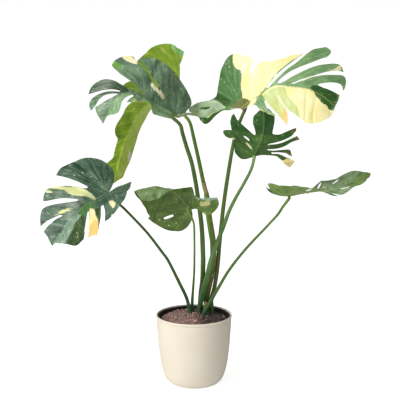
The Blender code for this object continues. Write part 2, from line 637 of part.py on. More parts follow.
def soil_object(group, cutters):
    """Soil with a lumpy top and a plain round hole for each stalk."""
    turned = turned_object(group, "soil", soil_profile(), 36, COLOURS["soil"], 0.95)
    state = bpy.context.evaluated_depsgraph_get()
    mesh = bpy.data.meshes.new_from_object(turned.evaluated_get(state))
    for vert in mesh.vertices:
        if vert.co.z > (SOIL_EDGE - 1) * MM:
            vert.co.z += soil_height(vert.co.x / MM, vert.co.y / MM) * MM
    turned.modifiers.clear()
    turned.data = mesh
    holes = [(points[0][0], points[0][1], sizes[0][1]) for _, points, sizes in STALKS.values()]
    holes.append((CROWN_CENTRE[0], CROWN_CENTRE[1], CROWN_RADIUS))
    for x, y, radius in holes:
        cut = turned.modifiers.new("hole", "BOOLEAN")
        cut.operation = "DIFFERENCE"
        cut.solver = "EXACT"
        cut.object = hole_cutter(cutters, x, y, radius + 0.45)
    return turned


def hole_cutter(cutters, x, y, radius):
    """An upright cylinder that cuts one stalk's hole."""
    low, high = HOLE_FLOOR - 0.3, 236.0
    shape = bmesh.new()
    bmesh.ops.create_cone(shape, cap_ends=True, segments=12, radius1=radius * MM,
                          radius2=radius * MM, depth=(high - low) * MM)
    mesh = bpy.data.meshes.new("hole")
    shape.to_mesh(mesh)
    shape.free()
    cutter = bpy.data.objects.new("hole", mesh)
    cutter.location = (x * MM, y * MM, (low + high) / 2 * MM)
    cutter.hide_render = True
    cutter.display_type = "WIRE"
    cutters.objects.link(cutter)
    return cutter


def build():
    """Builds the whole plant."""
    clear_scene()
    plant = make_collection("potted_variegated_monstera")
    cutters = make_collection("cutters")
    for name, leaf in LEAVES.items():
        leaf_object(plant, name, leaf)
    for name in STALKS:
        stalk_object(plant, name)
    crown_object(plant)
    soil_object(plant, cutters)
    turned_object(plant, "nursery_pot", nursery_profile(), POT_STEPS, COLOURS["nursery_pot"], 0.6)
    turned_object(plant, "cover_pot", cover_pot_profile(), POT_STEPS, COLOURS["cover_pot"], 0.5)


build()
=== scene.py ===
"""Potted variegated monstera: fine leaves, stalks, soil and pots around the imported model.

Leaf drawings and paths are in millimetres: u runs along the midrib from the stalk, v across it.
"""
import logging
import math
from dataclasses import dataclass, field
from enum import Enum
from typing import Any, Dict, List, Optional, Sequence, Tuple

import bpy
import numpy as np
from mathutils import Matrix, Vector
from mathutils.geometry import delaunay_2d_cdt


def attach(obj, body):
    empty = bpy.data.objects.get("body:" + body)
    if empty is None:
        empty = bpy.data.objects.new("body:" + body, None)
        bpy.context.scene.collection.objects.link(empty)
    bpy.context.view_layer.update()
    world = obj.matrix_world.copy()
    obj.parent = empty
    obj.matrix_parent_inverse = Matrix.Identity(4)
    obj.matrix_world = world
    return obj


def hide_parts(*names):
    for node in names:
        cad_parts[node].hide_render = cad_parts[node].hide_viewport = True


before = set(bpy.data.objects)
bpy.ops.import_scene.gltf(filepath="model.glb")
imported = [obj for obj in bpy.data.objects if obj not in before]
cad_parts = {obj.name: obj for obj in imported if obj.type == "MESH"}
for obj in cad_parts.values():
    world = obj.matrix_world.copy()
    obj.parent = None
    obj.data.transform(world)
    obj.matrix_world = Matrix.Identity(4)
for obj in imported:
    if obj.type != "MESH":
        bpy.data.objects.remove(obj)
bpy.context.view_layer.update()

BODY = "root"
MM = 0.001
UV_NAME = "surface"
GRAIN_NAME = "grain"
VEIN_SLANT = 0.62
FAR_MM = 60.0
WAX_IOR = 1.45
LOG = logging.getLogger("monstera")

Flat = Tuple[float, float]
Place = Tuple[float, float, float]


class Mark(Enum):
    """Coloured areas that a leaf drawing may hold, in painting order."""

    FRESH = "fresh"
    # The next three marks are painted light: a painted sheen where lobes catch light at a grazing
    # angle, a painted highlight on a silvery lobe, and painted light as if shining through a shaded
    # flap.
    PAINTED_SHEEN = "painted_sheen"
    PAINTED_HIGHLIGHT = "painted_highlight"
    GLOW = "painted_glow"
    DEEP = "deep"
    OLIVE = "olive"
    LIME = "lime"
    CREAM = "cream"
    GOLD = "gold"
    BROWN = "brown"

    def dimming(self) -> Tuple[float, float, float]:
        """Shares of red, green and blue left in the mark's darker mottles."""
        if self in (Mark.LIME, Mark.CREAM, Mark.GOLD, Mark.GLOW):
            return 0.9, 0.86, 0.62
        return 0.5, 0.6, 0.5


def linear(code: str) -> Tuple[float, float, float, float]:
    """Turns an sRGB hex colour into linear RGBA.

    Args:
        code: Six hex digits after a hash sign.

    Returns:
        Linear red, green, blue and an alpha of one.
    """
    parts = [int(code[i:i + 2], 16) / 255 for i in (1, 3, 5)]
    r, g, b = (c / 12.92 if c <= 0.04045 else ((c + 0.055) / 1.055) ** 2.4 for c in parts)
    return r, g, b, 1.0


def per_metre(millimetres: float) -> float:
    """Texture scale for a pattern of the given real size."""
    return 1000.0 / millimetres


def set_entries(tree: bpy.types.NodeTree, node: bpy.types.Node, entries: Dict[Any, Any]) -> None:
    """Sets a node's properties and inputs, and links those that are given a socket.

    Args:
        tree: The node tree.
        node: The node.
        entries: Values or sockets by property name, input name or input number.
    """
    for key, value in entries.items():
        if isinstance(value, bpy.types.NodeSocket):
            tree.links.new(value, node.inputs[key])
        elif isinstance(key, str) and hasattr(node, key):
            setattr(node, key, value)
        else:
            node.inputs[key].default_value = value


def add_node(tree: bpy.types.NodeTree, kind: str, entries: Optional[Dict[Any, Any]] = None
             ) -> bpy.types.Node:
    """Adds a node of Blender's named type, with its settings and incoming links."""
    node = tree.nodes.new(kind)
    set_entries(tree, node, entries or {})
    return node


def add_field(tree: bpy.types.NodeTree, name: str) -> Any:
    """Value socket of a number that the mesh holds at each point."""
    return add_node(tree, "ShaderNodeAttribute", {"attribute_name": name}).outputs["Fac"]


def add_stretch(tree: bpy.types.NodeTree, place: Any, scale: Place) -> Any:
    """Coordinate socket scaled in each direction."""
    return add_node(tree, "ShaderNodeMapping", {"Scale": scale, "Vector": place}).outputs[0]


def add_noise(tree: bpy.types.NodeTree, place: Any, size_mm: float, detail: float,
              roughness: float = 0.5) -> Any:
    """Value socket of cloudy noise with features of the given size."""
    return add_node(tree, "ShaderNodeTexNoise",
                    {"Scale": per_metre(size_mm), "Detail": detail, "Roughness": roughness,
                     "Vector": place}).outputs["Fac"]


def add_math(tree: bpy.types.NodeTree, operation: str, *terms: Any) -> Any:
    """Value socket of an operation on numbers and sockets."""
    return add_node(tree, "ShaderNodeMath",
                    {"operation": operation, **dict(enumerate(terms))}).outputs[0]


def add_range(tree: bpy.types.NodeTree, value: Any, low: float, high: float,
              bottom: float = 0.0, top: float = 1.0) -> Any:
    """Value socket that runs from bottom to top while the value runs from low to high."""
    return add_node(tree, "ShaderNodeMapRange",
                    {0: value, 1: low, 2: high, 3: bottom, 4: top}).outputs[0]


def add_mix(tree: bpy.types.NodeTree, share: Any, low: Any, high: Any) -> Any:
    """Colour socket between two colours, each a socket or linear RGBA."""
    return add_node(tree, "ShaderNodeMix",
                    {"data_type": "RGBA", 0: share, 6: low, 7: high}).outputs[2]


def add_ramp(tree: bpy.types.NodeTree, value: Any, ends: Tuple[str, str],
             stops: Sequence[Tuple[float, str]]) -> Any:
    """Colour socket of a ramp between two end colours, with stops between them."""
    ramp = add_node(tree, "ShaderNodeValToRGB", {0: value})
    elements = ramp.color_ramp.elements
    elements[0].color, elements[1].color = linear(ends[0]), linear(ends[1])
    for position, code in stops:
        elements.new(position).color = linear(code)
    return ramp.outputs[0]


def add_bump(tree: bpy.types.NodeTree, height: Any, strength: float, height_mm: float,
             below: Any = None) -> Any:
    """Normal socket of a relief of the given height, on another relief if one is given."""
    entries = {"Strength": strength, "Distance": height_mm * MM, "Height": height}
    if below is not None:
        entries["Normal"] = below
    return add_node(tree, "ShaderNodeBump", entries).outputs[0]


def feed_shader(material: bpy.types.Material, entries: Dict[str, Any]) -> None:
    """Gives the material's shader its values and sockets, by input name."""
    tree = material.node_tree
    set_entries(tree, tree.nodes["Principled BSDF"], entries)


def new_material(name: str, roughness: float, ior: float) -> bpy.types.Material:
    """A material whose shader has its plain values set."""
    material = bpy.data.materials.new(name)
    material.use_nodes = True
    feed_shader(material, {"Roughness": roughness, "IOR": ior})
    return material


def add_object(name: str, data: Any) -> bpy.types.Object:
    """A new object in the scene."""
    thing = bpy.data.objects.new(name, data)
    bpy.context.scene.collection.objects.link(thing)
    return thing


def place_piece(name: str, mesh: bpy.types.Mesh, node: Optional[str] = None,
                finish: Any = None) -> bpy.types.Object:
    """Links a mesh as a piece that rides on the root body.

    Args:
        name: The piece's name.
        mesh: Its mesh.
        node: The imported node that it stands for, if any.
        finish: Its finish, unless the mesh has its materials already.

    Returns:
        The new object.
    """
    if finish is not None:
        mesh.materials.append(finish.material())
    piece = add_object(name, mesh)
    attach(piece, BODY)
    if node is not None:
        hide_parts(node)
    LOG.info("%s: %d faces", name, len(mesh.polygons))
    return piece


def new_mesh(name: str, places_mm: np.ndarray, faces: Sequence[Any]) -> bpy.types.Mesh:
    """A mesh from points in mm and faces."""
    mesh = bpy.data.meshes.new(name)
    mesh.from_pydata((places_mm * MM).tolist(), [], faces)
    return mesh


def write_field(mesh: bpy.types.Mesh, name: str, values: np.ndarray) -> None:
    """Stores one number at each point of a mesh."""
    layer = mesh.attributes.new(name, "FLOAT", "POINT")
    layer.data.foreach_set("value", values.astype(np.float32))


def write_skin(mesh: bpy.types.Mesh, name: str, places: np.ndarray) -> None:
    """Stores a layer of skin coordinates, given one place in metres for each point."""
    corners = np.zeros(len(mesh.loops), dtype=np.int32)
    mesh.loops.foreach_get("vertex_index", corners)
    mesh.uv_layers.new(name=name).data.foreach_set("uv", places[corners].ravel())


def smooth(mesh: bpy.types.Mesh, sharp_degrees: float) -> None:
    """Shades a mesh smooth, with sharp edges from the given angle."""
    mesh.shade_smooth()
    mesh.set_sharp_from_angle(angle=math.radians(sharp_degrees))


def unit(vectors: Any) -> np.ndarray:
    """Vectors of length one."""
    vectors = np.asarray(vectors, float)
    return vectors / np.maximum(np.linalg.norm(vectors, axis=-1, keepdims=True), 1e-12)


def square_to(vectors: np.ndarray, ways: np.ndarray) -> np.ndarray:
    """Unit vectors nearest to the given ones that stand square to the ways."""
    return unit(vectors - (vectors * ways).sum(-1)[..., None] * ways)


def bell(distance: np.ndarray, width: float) -> np.ndarray:
    """A ridge of unit height that fades with the distance."""
    return np.exp(-(distance / width) ** 2)


def smooth_path(points: Sequence[Any], pieces: int) -> np.ndarray:
    """Points of a smooth curve through the given points.

    Args:
        points: Points in the plane or in space.
        pieces: Number of steps between two of them.

    Returns:
        The curve's points, the last given point included.
    """
    knots = np.asarray(points, float)
    ring = np.vstack([2 * knots[0] - knots[1], knots, 2 * knots[-1] - knots[-2]])
    step = np.linspace(0, 1, pieces, endpoint=False)[:, None]
    out = []
    for a, b, c, d in zip(ring[:-3], ring[1:-2], ring[2:-1], ring[3:]):
        out.append(0.5 * (2 * b + (c - a) * step + (2 * a - 5 * b + 4 * c - d) * step ** 2
                          + (3 * b - a - 3 * c + d) * step ** 3))
    out.append(knots[-1][None])
    return np.vstack(out)


def along(table: Sequence[float], share: np.ndarray) -> np.ndarray:
    """The value of an evenly spaced table at a share of its length."""
    return np.interp(share, np.linspace(0, 1, len(table)), table)


def run_of(line: np.ndarray) -> np.ndarray:
    """Distance along a line up to each of its points."""
    return np.concatenate([[0], np.cumsum(np.linalg.norm(np.diff(line, axis=0), axis=1))])


def read_rows(rows: np.ndarray, run: np.ndarray, reach: np.ndarray) -> np.ndarray:
    """Rows at the given distances.

    Args:
        rows: Points or directions, one a row.
        run: The distance of each row.
        reach: The distances to read at.

    Returns:
        One row for each distance.
    """
    return np.stack([np.interp(reach, run, column) for column in rows.T], -1)


def ripple(x: np.ndarray, y: np.ndarray, seed: int) -> np.ndarray:
    """Smooth pseudo-random waves of about unit height.

    Args:
        x: First coordinate in wavelengths.
        y: Second coordinate in wavelengths.
        seed: Which set of waves.

    Returns:
        The height at each point.
    """
    draw = np.random.default_rng(seed)
    total = np.zeros_like(x, dtype=float)
    for _ in range(7):
        angle, phase = draw.uniform(0, 2 * math.pi, 2)
        pitch = draw.uniform(0.6, 1.7)
        total += np.sin(2 * math.pi * pitch * (x * math.cos(angle) + y * math.sin(angle)) + phase)
    return total / 3.5


def edge_distance(points: np.ndarray, line: np.ndarray, closed: bool) -> np.ndarray:
    """Distance from flat points to a line of straight stretches.

    Args:
        points: Points, one a row.
        line: The line's corners.
        closed: Whether its last corner joins its first.

    Returns:
        One distance for each point.
    """
    a = line if closed else line[:-1]
    b = np.roll(line, -1, axis=0) if closed else line[1:]
    edge = b - a
    length = np.maximum((edge ** 2).sum(1), 1e-9)
    best = np.full(len(points), 1e9)
    batch = 2000
    for start in range(0, len(points), batch):
        part = points[start:start + batch]
        share = np.clip(((part[:, None] - a) * edge).sum(2) / length, 0, 1)
        gap = part[:, None] - (a + edge * share[..., None])
        best[start:start + batch] = np.sqrt((gap ** 2).sum(2)).min(1)
    return best


def nearest(points: np.ndarray, lines: Sequence[np.ndarray], closed: bool) -> np.ndarray:
    """Distance from flat points to the nearest of several lines."""
    return np.minimum.reduce([edge_distance(points, line, closed) for line in lines])


def inside(points: np.ndarray, ring: np.ndarray) -> np.ndarray:
    """Whether each flat point lies inside a closed outline."""
    found = np.zeros(len(points), bool)
    x, y = points[:, 0], points[:, 1]
    for (x0, y0), (x1, y1) in zip(ring, np.roll(ring, -1, axis=0)):
        if y0 == y1:
            continue
        crosses = (y0 > y) != (y1 > y)
        found ^= crosses & (x < x0 + (x1 - x0) * (y - y0) / (y1 - y0))
    return found


def on_blade(points: np.ndarray, rings: Sequence[np.ndarray]) -> np.ndarray:
    """Whether each flat point lies in the first ring and in none of the others."""
    keep = inside(points, rings[0])
    for hole in rings[1:]:
        keep &= ~inside(points, hole)
    return keep


@dataclass(frozen=True)
class LeafDrawing:
    """One leaf: how its midrib runs, how its halves bend, and its flat outline with its marks.

    The outline is a ring of smooth strokes with corners between them. Each stroke starts where
    the one before it ends, and the first starts at the stalk, where the last one ends.
    """

    node: str
    slot: str
    spine: Sequence[Place]
    faces: Sequence[Place]
    fold: Tuple[Sequence[float], Sequence[float]]
    curl: Tuple[Sequence[float], Sequence[float]]
    outline: Sequence[Sequence[Flat]]
    vein_tips: Sequence[Flat]
    back_bend: float = 0.0
    marks: Dict[Mark, Sequence[Sequence[Flat]]] = field(default_factory=dict)
    holes: Sequence[Sequence[Flat]] = ()


class BentSheet:
    """The bent surface that a flat leaf drawing is laid on."""

    stations_count = 160
    easing_passes = 6

    def __init__(self, drawing: LeafDrawing) -> None:
        """Reads the midrib and its directions from the drawing."""
        curve = smooth_path(drawing.spine, 40)
        run = run_of(curve)
        self.length = float(run[-1])
        self.stations = np.linspace(0, self.length, self.stations_count)
        self.middle = read_rows(curve, run, self.stations)
        tangent = unit(np.gradient(self.middle, self.stations, axis=0))
        for _ in range(self.easing_passes):
            tangent[1:-1] = unit(tangent[:-2] + 2 * tangent[1:-1] + tangent[2:])
        faces = unit(drawing.faces)
        normal = read_rows(faces, np.linspace(0, 1, len(faces)), self.stations / self.length)
        self.tangent = tangent
        self.normal = square_to(normal, tangent)
        self.drawing = drawing

    def frame(self, u: np.ndarray) -> Tuple[np.ndarray, np.ndarray, np.ndarray]:
        """Directions at a distance along the midrib.

        Args:
            u: Distances, also before the stalk or past the tip.

        Returns:
            Midrib points, upper-face directions and sideways directions.
        """
        held = np.clip(u, 0, self.length)
        point = read_rows(self.middle, self.stations, held)
        tangent = unit(read_rows(self.tangent, self.stations, held))
        normal = square_to(read_rows(self.normal, self.stations, held), tangent)
        side = np.cross(normal, tangent)
        beyond = np.asarray(u - held, float)
        behind = np.minimum(beyond, 0)
        bend = math.radians(self.drawing.back_bend) / 100.0
        if bend:
            angle = (-bend * behind)[..., None]
            point = point - tangent * np.sin(angle) / bend + normal * (1 - np.cos(angle)) / bend
            normal = normal * np.cos(angle) + tangent * np.sin(angle)
        else:
            point = point + tangent * behind[..., None]
        return point + tangent * np.maximum(beyond, 0)[..., None], normal, side

    def at(self, u: np.ndarray, v: np.ndarray) -> np.ndarray:
        """Points in space (mm) of flat drawing points.

        Args:
            u: Distances along the midrib.
            v: Distances across it.

        Returns:
            One point a row.
        """
        point, normal, side = self.frame(u)
        share = np.clip(u / self.length, 0, 1)
        out = np.abs(v)
        fold, curl = (np.radians(np.where(v >= 0, along(table[0], share), along(table[1], share)))
                      for table in (self.drawing.fold, self.drawing.curl))
        curl = curl / 100.0
        across = (np.sin(fold + curl * out) - np.sin(fold)) / curl
        up = (np.cos(fold) - np.cos(fold + curl * out)) / curl
        return point + side * (np.sign(v) * across)[..., None] + normal * up[..., None]


@dataclass(frozen=True)
class LeafFinish:
    """Waxy leaf skin: satin sheen over green that is streaked along the veins.

    The cuticle of a living leaf reflects like oil (IOR 1.45) and is never quite even. Cream
    sectors have feathered edges, because the colour follows rows of cells along the veins.
    Each row of flecks has its size in mm and its number beside the middle size.
    """

    name: str
    ground: str
    shade: str
    vein: str
    streak: str = "#a9bf98"
    streak_share: float = 0.3
    streak_mm: float = 4.5
    streak_strength: float = 0.7
    fleck: str = "#eef0c0"
    fleck_share: float = 0.0
    fleck_strength: float = 0.8
    fleck_rows: Sequence[Flat] = ((2.4, 1.3), (4.2, 1.0), (9.0, 0.42))
    fleck_stretch: float = 0.3
    fleck_radius: float = 0.34
    fleck_edge: float = 0.14
    crowding: float = 1.6
    mottle_mm: float = 38.0
    fibre_mm: float = 7.0
    fibre_stretch: float = 0.09
    fibre_height_mm: float = 2.2
    cell_mm: float = 3.2
    cell_height_mm: float = 0.6
    roughness: float = 0.42
    coat: float = 0.08
    coat_roughness: float = 0.22
    vein_width_mm: float = 0.9
    vein_strength: float = 0.2
    rib_width_mm: float = 1.3
    rib_strength: float = 0.6
    contrast: float = 0.14
    edge_sway_mm: float = 16.0
    edge_fade_mm: Flat = (7.4, 8.8)
    fresh: str = "#5d8650"
    # The next three colours are painted light: a painted sheen, a painted highlight, and painted
    # light shining through a shaded flap.
    painted_sheen: str = "#8fae86"
    painted_highlight: str = "#c3dcb8"
    painted_glow: str = "#cdee50"
    deep: str = "#2f5a26"
    olive: str = "#6f7f4d"
    lime: str = "#dfe8a2"
    cream: str = "#fbf3b4"
    gold: str = "#efcd76"
    brown: str = "#5d4a34"

    def material(self, kinds: Sequence[Mark]) -> bpy.types.Material:
        """Builds the node material.

        Args:
            kinds: The marks that the leaf's drawing holds.

        Returns:
            The material.
        """
        material = new_material(self.name, self.roughness, WAX_IOR)
        tree = material.node_tree
        flat = add_node(tree, "ShaderNodeUVMap", {"uv_map": UV_NAME}).outputs[0]
        grain = add_node(tree, "ShaderNodeUVMap", {"uv_map": GRAIN_NAME}).outputs[0]
        long_grain = add_stretch(tree, grain, (self.fibre_stretch, 1.0, 1.0))
        broad = add_noise(tree, flat, self.mottle_mm, 4.0, 0.6)
        fibre = add_noise(tree, long_grain, self.fibre_mm, 5.0, 0.65)
        tone = add_range(tree, add_math(tree, "ADD", broad, fibre), 1 - self.contrast,
                         1 + self.contrast)
        colour = add_mix(tree, tone, linear(self.shade), linear(self.ground))
        colour = self.comb(tree, colour, long_grain)
        for kind in kinds:
            colour = self.paint(tree, colour, kind, fibre, tone)
        if self.fleck_share > 0:
            colour = self.sprinkle(tree, colour, grain, broad)
        feed_shader(material, {"Coat Weight": self.coat, "Coat Roughness": self.coat_roughness,
                               "Base Color": self.draw_lines(tree, colour),
                               "Normal": self.relief(tree, flat, fibre)})
        return material

    def paint(self, tree: bpy.types.NodeTree, below: Any, kind: Mark, fibre: Any, tone: Any
              ) -> Any:
        """Paints one kind of mark, with an edge feathered by about 5 mm along the veins.

        Args:
            tree: The node tree.
            below: The colour so far.
            kind: The mark.
            fibre: Streaky noise that breaks up the edge.
            tone: Mottle that varies the mark's colour.

        Returns:
            The colour socket with the mark on it.
        """
        full = linear(getattr(self, kind.value))
        dim = tuple(c * share for c, share in zip(full, kind.dimming())) + (1.0,)
        depth = add_math(tree, "MULTIPLY_ADD", fibre, self.edge_sway_mm,
                         add_field(tree, kind.value))
        mask = add_range(tree, depth, *self.edge_fade_mm)
        return add_mix(tree, mask, below, add_mix(tree, tone, dim, full))

    def comb(self, tree: bpy.types.NodeTree, below: Any, long_grain: Any) -> Any:
        """Combs pale streaks, 2 to 4 mm wide, along the veins.

        Args:
            tree: The node tree.
            below: The colour so far.
            long_grain: Leaf coordinates drawn out along the veins.

        Returns:
            The colour socket with the streaks on it.
        """
        shift = 0.25 * self.streak_share
        noise = add_noise(tree, long_grain, self.streak_mm, 2.0)
        mask = add_range(tree, noise, 0.72 - shift, 0.86 - shift, 0.0, self.streak_strength)
        return add_mix(tree, mask, below, linear(self.streak))

    def sprinkle(self, tree: bpy.types.NodeTree, below: Any, grain: Any, crowd: Any) -> Any:
        """Scatters cream flecks of 2 to 9 mm, longest along the veins.

        Args:
            tree: The node tree.
            below: The colour so far.
            grain: Leaf coordinates along and across the veins.
            crowd: Broad noise that gathers the flecks.

        Returns:
            The colour socket with the flecks on it.
        """
        drawn_out = add_stretch(tree, grain, (self.fleck_stretch, 1.0, 1.0))
        colour = below
        for size, number in self.fleck_rows:
            cells = add_node(tree, "ShaderNodeTexVoronoi",
                             {"Scale": per_metre(size), "Vector": drawn_out})
            chance = add_node(tree, "ShaderNodeSeparateColor", {0: cells.outputs["Color"]})
            luck = add_math(tree, "MULTIPLY_ADD", crowd, self.crowding, chance.outputs[0])
            reach = add_range(tree, luck, 1.8 - self.fleck_share * number, 1.9, 0.0,
                              self.fleck_radius)
            gap = add_math(tree, "SUBTRACT", reach, cells.outputs["Distance"])
            mask = add_range(tree, gap, 0.0, self.fleck_edge, 0.0, self.fleck_strength)
            colour = add_mix(tree, mask, colour, linear(self.fleck))
        return colour

    def draw_lines(self, tree: bpy.types.NodeTree, below: Any) -> Any:
        """Draws the pale veins and midrib.

        Args:
            tree: The node tree.
            below: The colour so far.

        Returns:
            The colour socket with the lines on it.
        """
        colour = below
        for name, width, strength in (("vein", self.vein_width_mm, self.vein_strength),
                                      ("rib", self.rib_width_mm, self.rib_strength)):
            mask = add_range(tree, add_field(tree, name), width * 0.5, width * 1.5, strength, 0.0)
            colour = add_mix(tree, mask, colour, linear(self.vein))
        return colour

    def relief(self, tree: bpy.types.NodeTree, flat: Any, fibre: Any) -> Any:
        """Makes the fine net of cells, 3 mm across, and low ridges along the veins.

        Args:
            tree: The node tree.
            flat: Leaf coordinates.
            fibre: Streaky noise along the veins.

        Returns:
            The normal socket.
        """
        cells = add_node(tree, "ShaderNodeTexVoronoi",
                         {"Scale": per_metre(self.cell_mm), "Vector": flat})
        net = add_bump(tree, cells.outputs["Distance"], 0.25, self.cell_height_mm)
        return add_bump(tree, fibre, 0.5, self.fibre_height_mm, net)


@dataclass
class Leaf:
    """A leaf blade as two fine sheets joined at the rim, with ribs raised below.

    Between the ribs the skin is lifted like a quilt. Within the still distance of the stalk's
    end it keeps to the bent sheet, and over the stir distance it starts to wave. Sizes in mm.
    """

    drawing: LeafDrawing
    upper: LeafFinish
    under: LeafFinish
    spacing: float = 4.0
    row_pitch: float = 0.87
    rim_step: float = 3.2
    rib_step: float = 3.0
    vein_step: float = 3.2
    merge: float = 1.3
    thickness: float = 0.95
    rim_thickness: float = 0.55
    quilt: float = 2.0
    quilt_reach: float = 8.0
    sink: float = 0.8
    wave: float = 1.3
    wave_length: float = 75.0
    rib_groove: float = 0.35
    vein_groove: float = 0.16
    rib_depth: float = 1.5
    vein_depth: float = 0.4
    rib_half_width: float = 2.2
    groove_half_width: float = 1.8
    vein_half_width: float = 1.2
    rib_row_gap: float = 2.2
    vein_row_gap: float = 1.5
    shake: float = 0.5
    still: float = 6.0
    stir: float = 24.0
    seed: int = 1

    def rings(self) -> List[np.ndarray]:
        """The outline and the holes, with points close enough to follow the bends."""
        holes = [[[*hole[1:], hole[0]]] for hole in self.drawing.holes]
        loops = []
        for strokes in [self.drawing.outline] + holes:
            ring: List[np.ndarray] = []
            start = strokes[-1][-1]
            for stroke in strokes:
                curve = smooth_path([start, *stroke], 8)
                run = run_of(curve)
                count = max(1, int(round(run[-1] / self.rim_step)))
                ring.append(read_rows(curve, run, np.linspace(0, run[-1], count, endpoint=False)))
                start = stroke[-1]
            loops.append(np.vstack(ring))
        return loops

    def veins(self, sheet: BentSheet) -> List[np.ndarray]:
        """Side veins, each from the midrib to its tip in an easy curve."""
        lines = []
        t = np.linspace(0, 0.95, 30)
        for tip_u, tip_v in self.drawing.vein_tips:
            start = min(max(tip_u - VEIN_SLANT * abs(tip_v), 2.0), sheet.length * 0.97)
            u = start + (tip_u - start) * (0.55 * t + 0.45 * t * t)
            lines.append(np.stack([u, tip_v * (1.25 * t - 0.25 * t * t)], 1))
        return lines

    def flat_points(self, rings: List[np.ndarray], veins: List[np.ndarray], length: float
                    ) -> np.ndarray:
        """Inner points: on and beside the ribs, then an even field between them.

        Args:
            rings: The outline and holes.
            veins: The side veins.
            length: The midrib's length.

        Returns:
            Flat points, none nearer to another than the merging distance.
        """
        run = np.arange(1.5, length - 2, self.rib_step)
        rows = [np.stack([run, np.full_like(run, out)], 1)
                for out in (0.0, self.rib_row_gap, -self.rib_row_gap)]
        for line in veins:
            reach = run_of(line)
            core = read_rows(line, reach, np.arange(2.0, reach[-1], self.vein_step))
            way = unit(np.gradient(core, axis=0)) if len(core) > 2 else np.zeros_like(core)
            side = np.stack([-way[:, 1], way[:, 0]], 1) * self.vein_row_gap
            rows += [core, core + side, core - side]
        low, high = rings[0].min(0), rings[0].max(0)
        draw = np.random.default_rng(self.seed)
        grid_u, grid_v = np.meshgrid(np.arange(low[0], high[0], self.spacing),
                                     np.arange(low[1], high[1], self.spacing * self.row_pitch))
        grid_u = grid_u + (np.arange(grid_u.shape[0]) % 2)[:, None] * self.spacing / 2
        grid = np.stack([grid_u.ravel(), grid_v.ravel()], 1)
        rows.append(grid + draw.uniform(-self.shake, self.shake, grid.shape))
        points = np.vstack(rows)
        keep = on_blade(points, rings) & (nearest(points, rings, True) > self.merge)
        taken: Dict[Tuple[int, int], List[np.ndarray]] = {}
        chosen = []
        for point in points[keep]:
            i, j = int(point[0] // self.merge), int(point[1] // self.merge)
            near = [q for k in (i - 1, i, i + 1) for m in (j - 1, j, j + 1)
                    for q in taken.get((k, m), [])]
            if all((q[0] - point[0]) ** 2 + (q[1] - point[1]) ** 2 > self.merge ** 2
                   for q in near):
                taken.setdefault((i, j), []).append(point)
                chosen.append(point)
        return np.array(chosen)

    def triangles(self, rings: List[np.ndarray], inner: np.ndarray
                  ) -> Tuple[np.ndarray, np.ndarray, List[Tuple[int, int]]]:
        """Triangulates the flat leaf.

        Args:
            rings: The outline and holes.
            inner: The points inside.

        Returns:
            Flat points, triangles that face up, and the directed rim edges.
        """
        points = np.vstack(rings + [inner])
        edges, base = [], 0
        for ring in rings:
            count = len(ring)
            edges += [(base + i, base + (i + 1) % count) for i in range(count)]
            base += count
        result = delaunay_2d_cdt([Vector(p) for p in points], edges, [], 0, 0.01)
        flat = np.array([tuple(p) for p in result[0]])
        faces = np.array([tuple(f) for f in result[2] if len(f) == 3])
        faces = faces[on_blade(flat[faces].mean(1), rings)]
        a, b, c = (flat[faces[:, k]] for k in range(3))
        area = (b[:, 0] - a[:, 0]) * (c[:, 1] - a[:, 1]) - (b[:, 1] - a[:, 1]) * (c[:, 0] - a[:, 0])
        faces[area < 0] = faces[area < 0][:, ::-1]
        used, inverse = np.unique(faces, return_inverse=True)
        faces = inverse.reshape(faces.shape)
        ways = {(int(f[i]), int(f[(i + 1) % 3])) for f in faces for i in range(3)}
        rim = sorted((i, j) for i, j in ways if (j, i) not in ways)
        return flat[used], faces, rim

    def build(self) -> bpy.types.Object:
        """Builds the leaf and places it as a piece."""
        sheet = BentSheet(self.drawing)
        rings, veins = self.rings(), self.veins(sheet)
        flat, faces, rim = self.triangles(rings, self.flat_points(rings, veins, sheet.length))
        edge = nearest(flat, rings, True)
        rib = edge_distance(flat, np.array([[0.0, 0.0], [sheet.length * 0.985, 0.0]]), False)
        vein = nearest(flat, veins, False)
        places = sheet.at(flat[:, 0], flat[:, 1])
        normal = self.normals(places, faces)
        share = np.clip(flat[:, 0] / sheet.length, 0, 1)
        lift = self.quilt * (1 - np.exp(-np.minimum(vein, rib) / self.quilt_reach)) - self.sink
        lift += self.wave * ripple(flat[:, 0] / self.wave_length, flat[:, 1] / self.wave_length,
                                   self.seed)
        lift *= np.clip((np.hypot(flat[:, 0], flat[:, 1]) - self.still) / self.stir, 0, 1)
        vein_ridge = bell(vein, self.vein_half_width)
        groove = (self.rib_groove * bell(rib, self.groove_half_width)
                  + self.vein_groove * vein_ridge)
        depth = self.rim_thickness + (self.thickness - self.rim_thickness) * np.clip(edge / 3, 0, 1)
        fade = np.clip(edge / 4, 0, 1)
        depth += self.rib_depth * (1 - 0.75 * share) * bell(rib, self.rib_half_width) * fade
        depth += self.vein_depth * (1 - 0.5 * share) * vein_ridge * fade
        top = places + normal * (lift - groove)[:, None]
        low = places + normal * (lift - depth)[:, None]
        count = len(flat)
        name = self.drawing.node + "_blade"
        mesh = new_mesh(name, np.vstack([top, low]),
                        [tuple(f) for f in faces] + [tuple(f[::-1] + count) for f in faces]
                        + [(i, count + i, count + j, j) for i, j in rim])
        self.dress(mesh, flat, len(faces), {"rib": rib, "vein": vein})
        return place_piece(name, mesh, self.drawing.node)

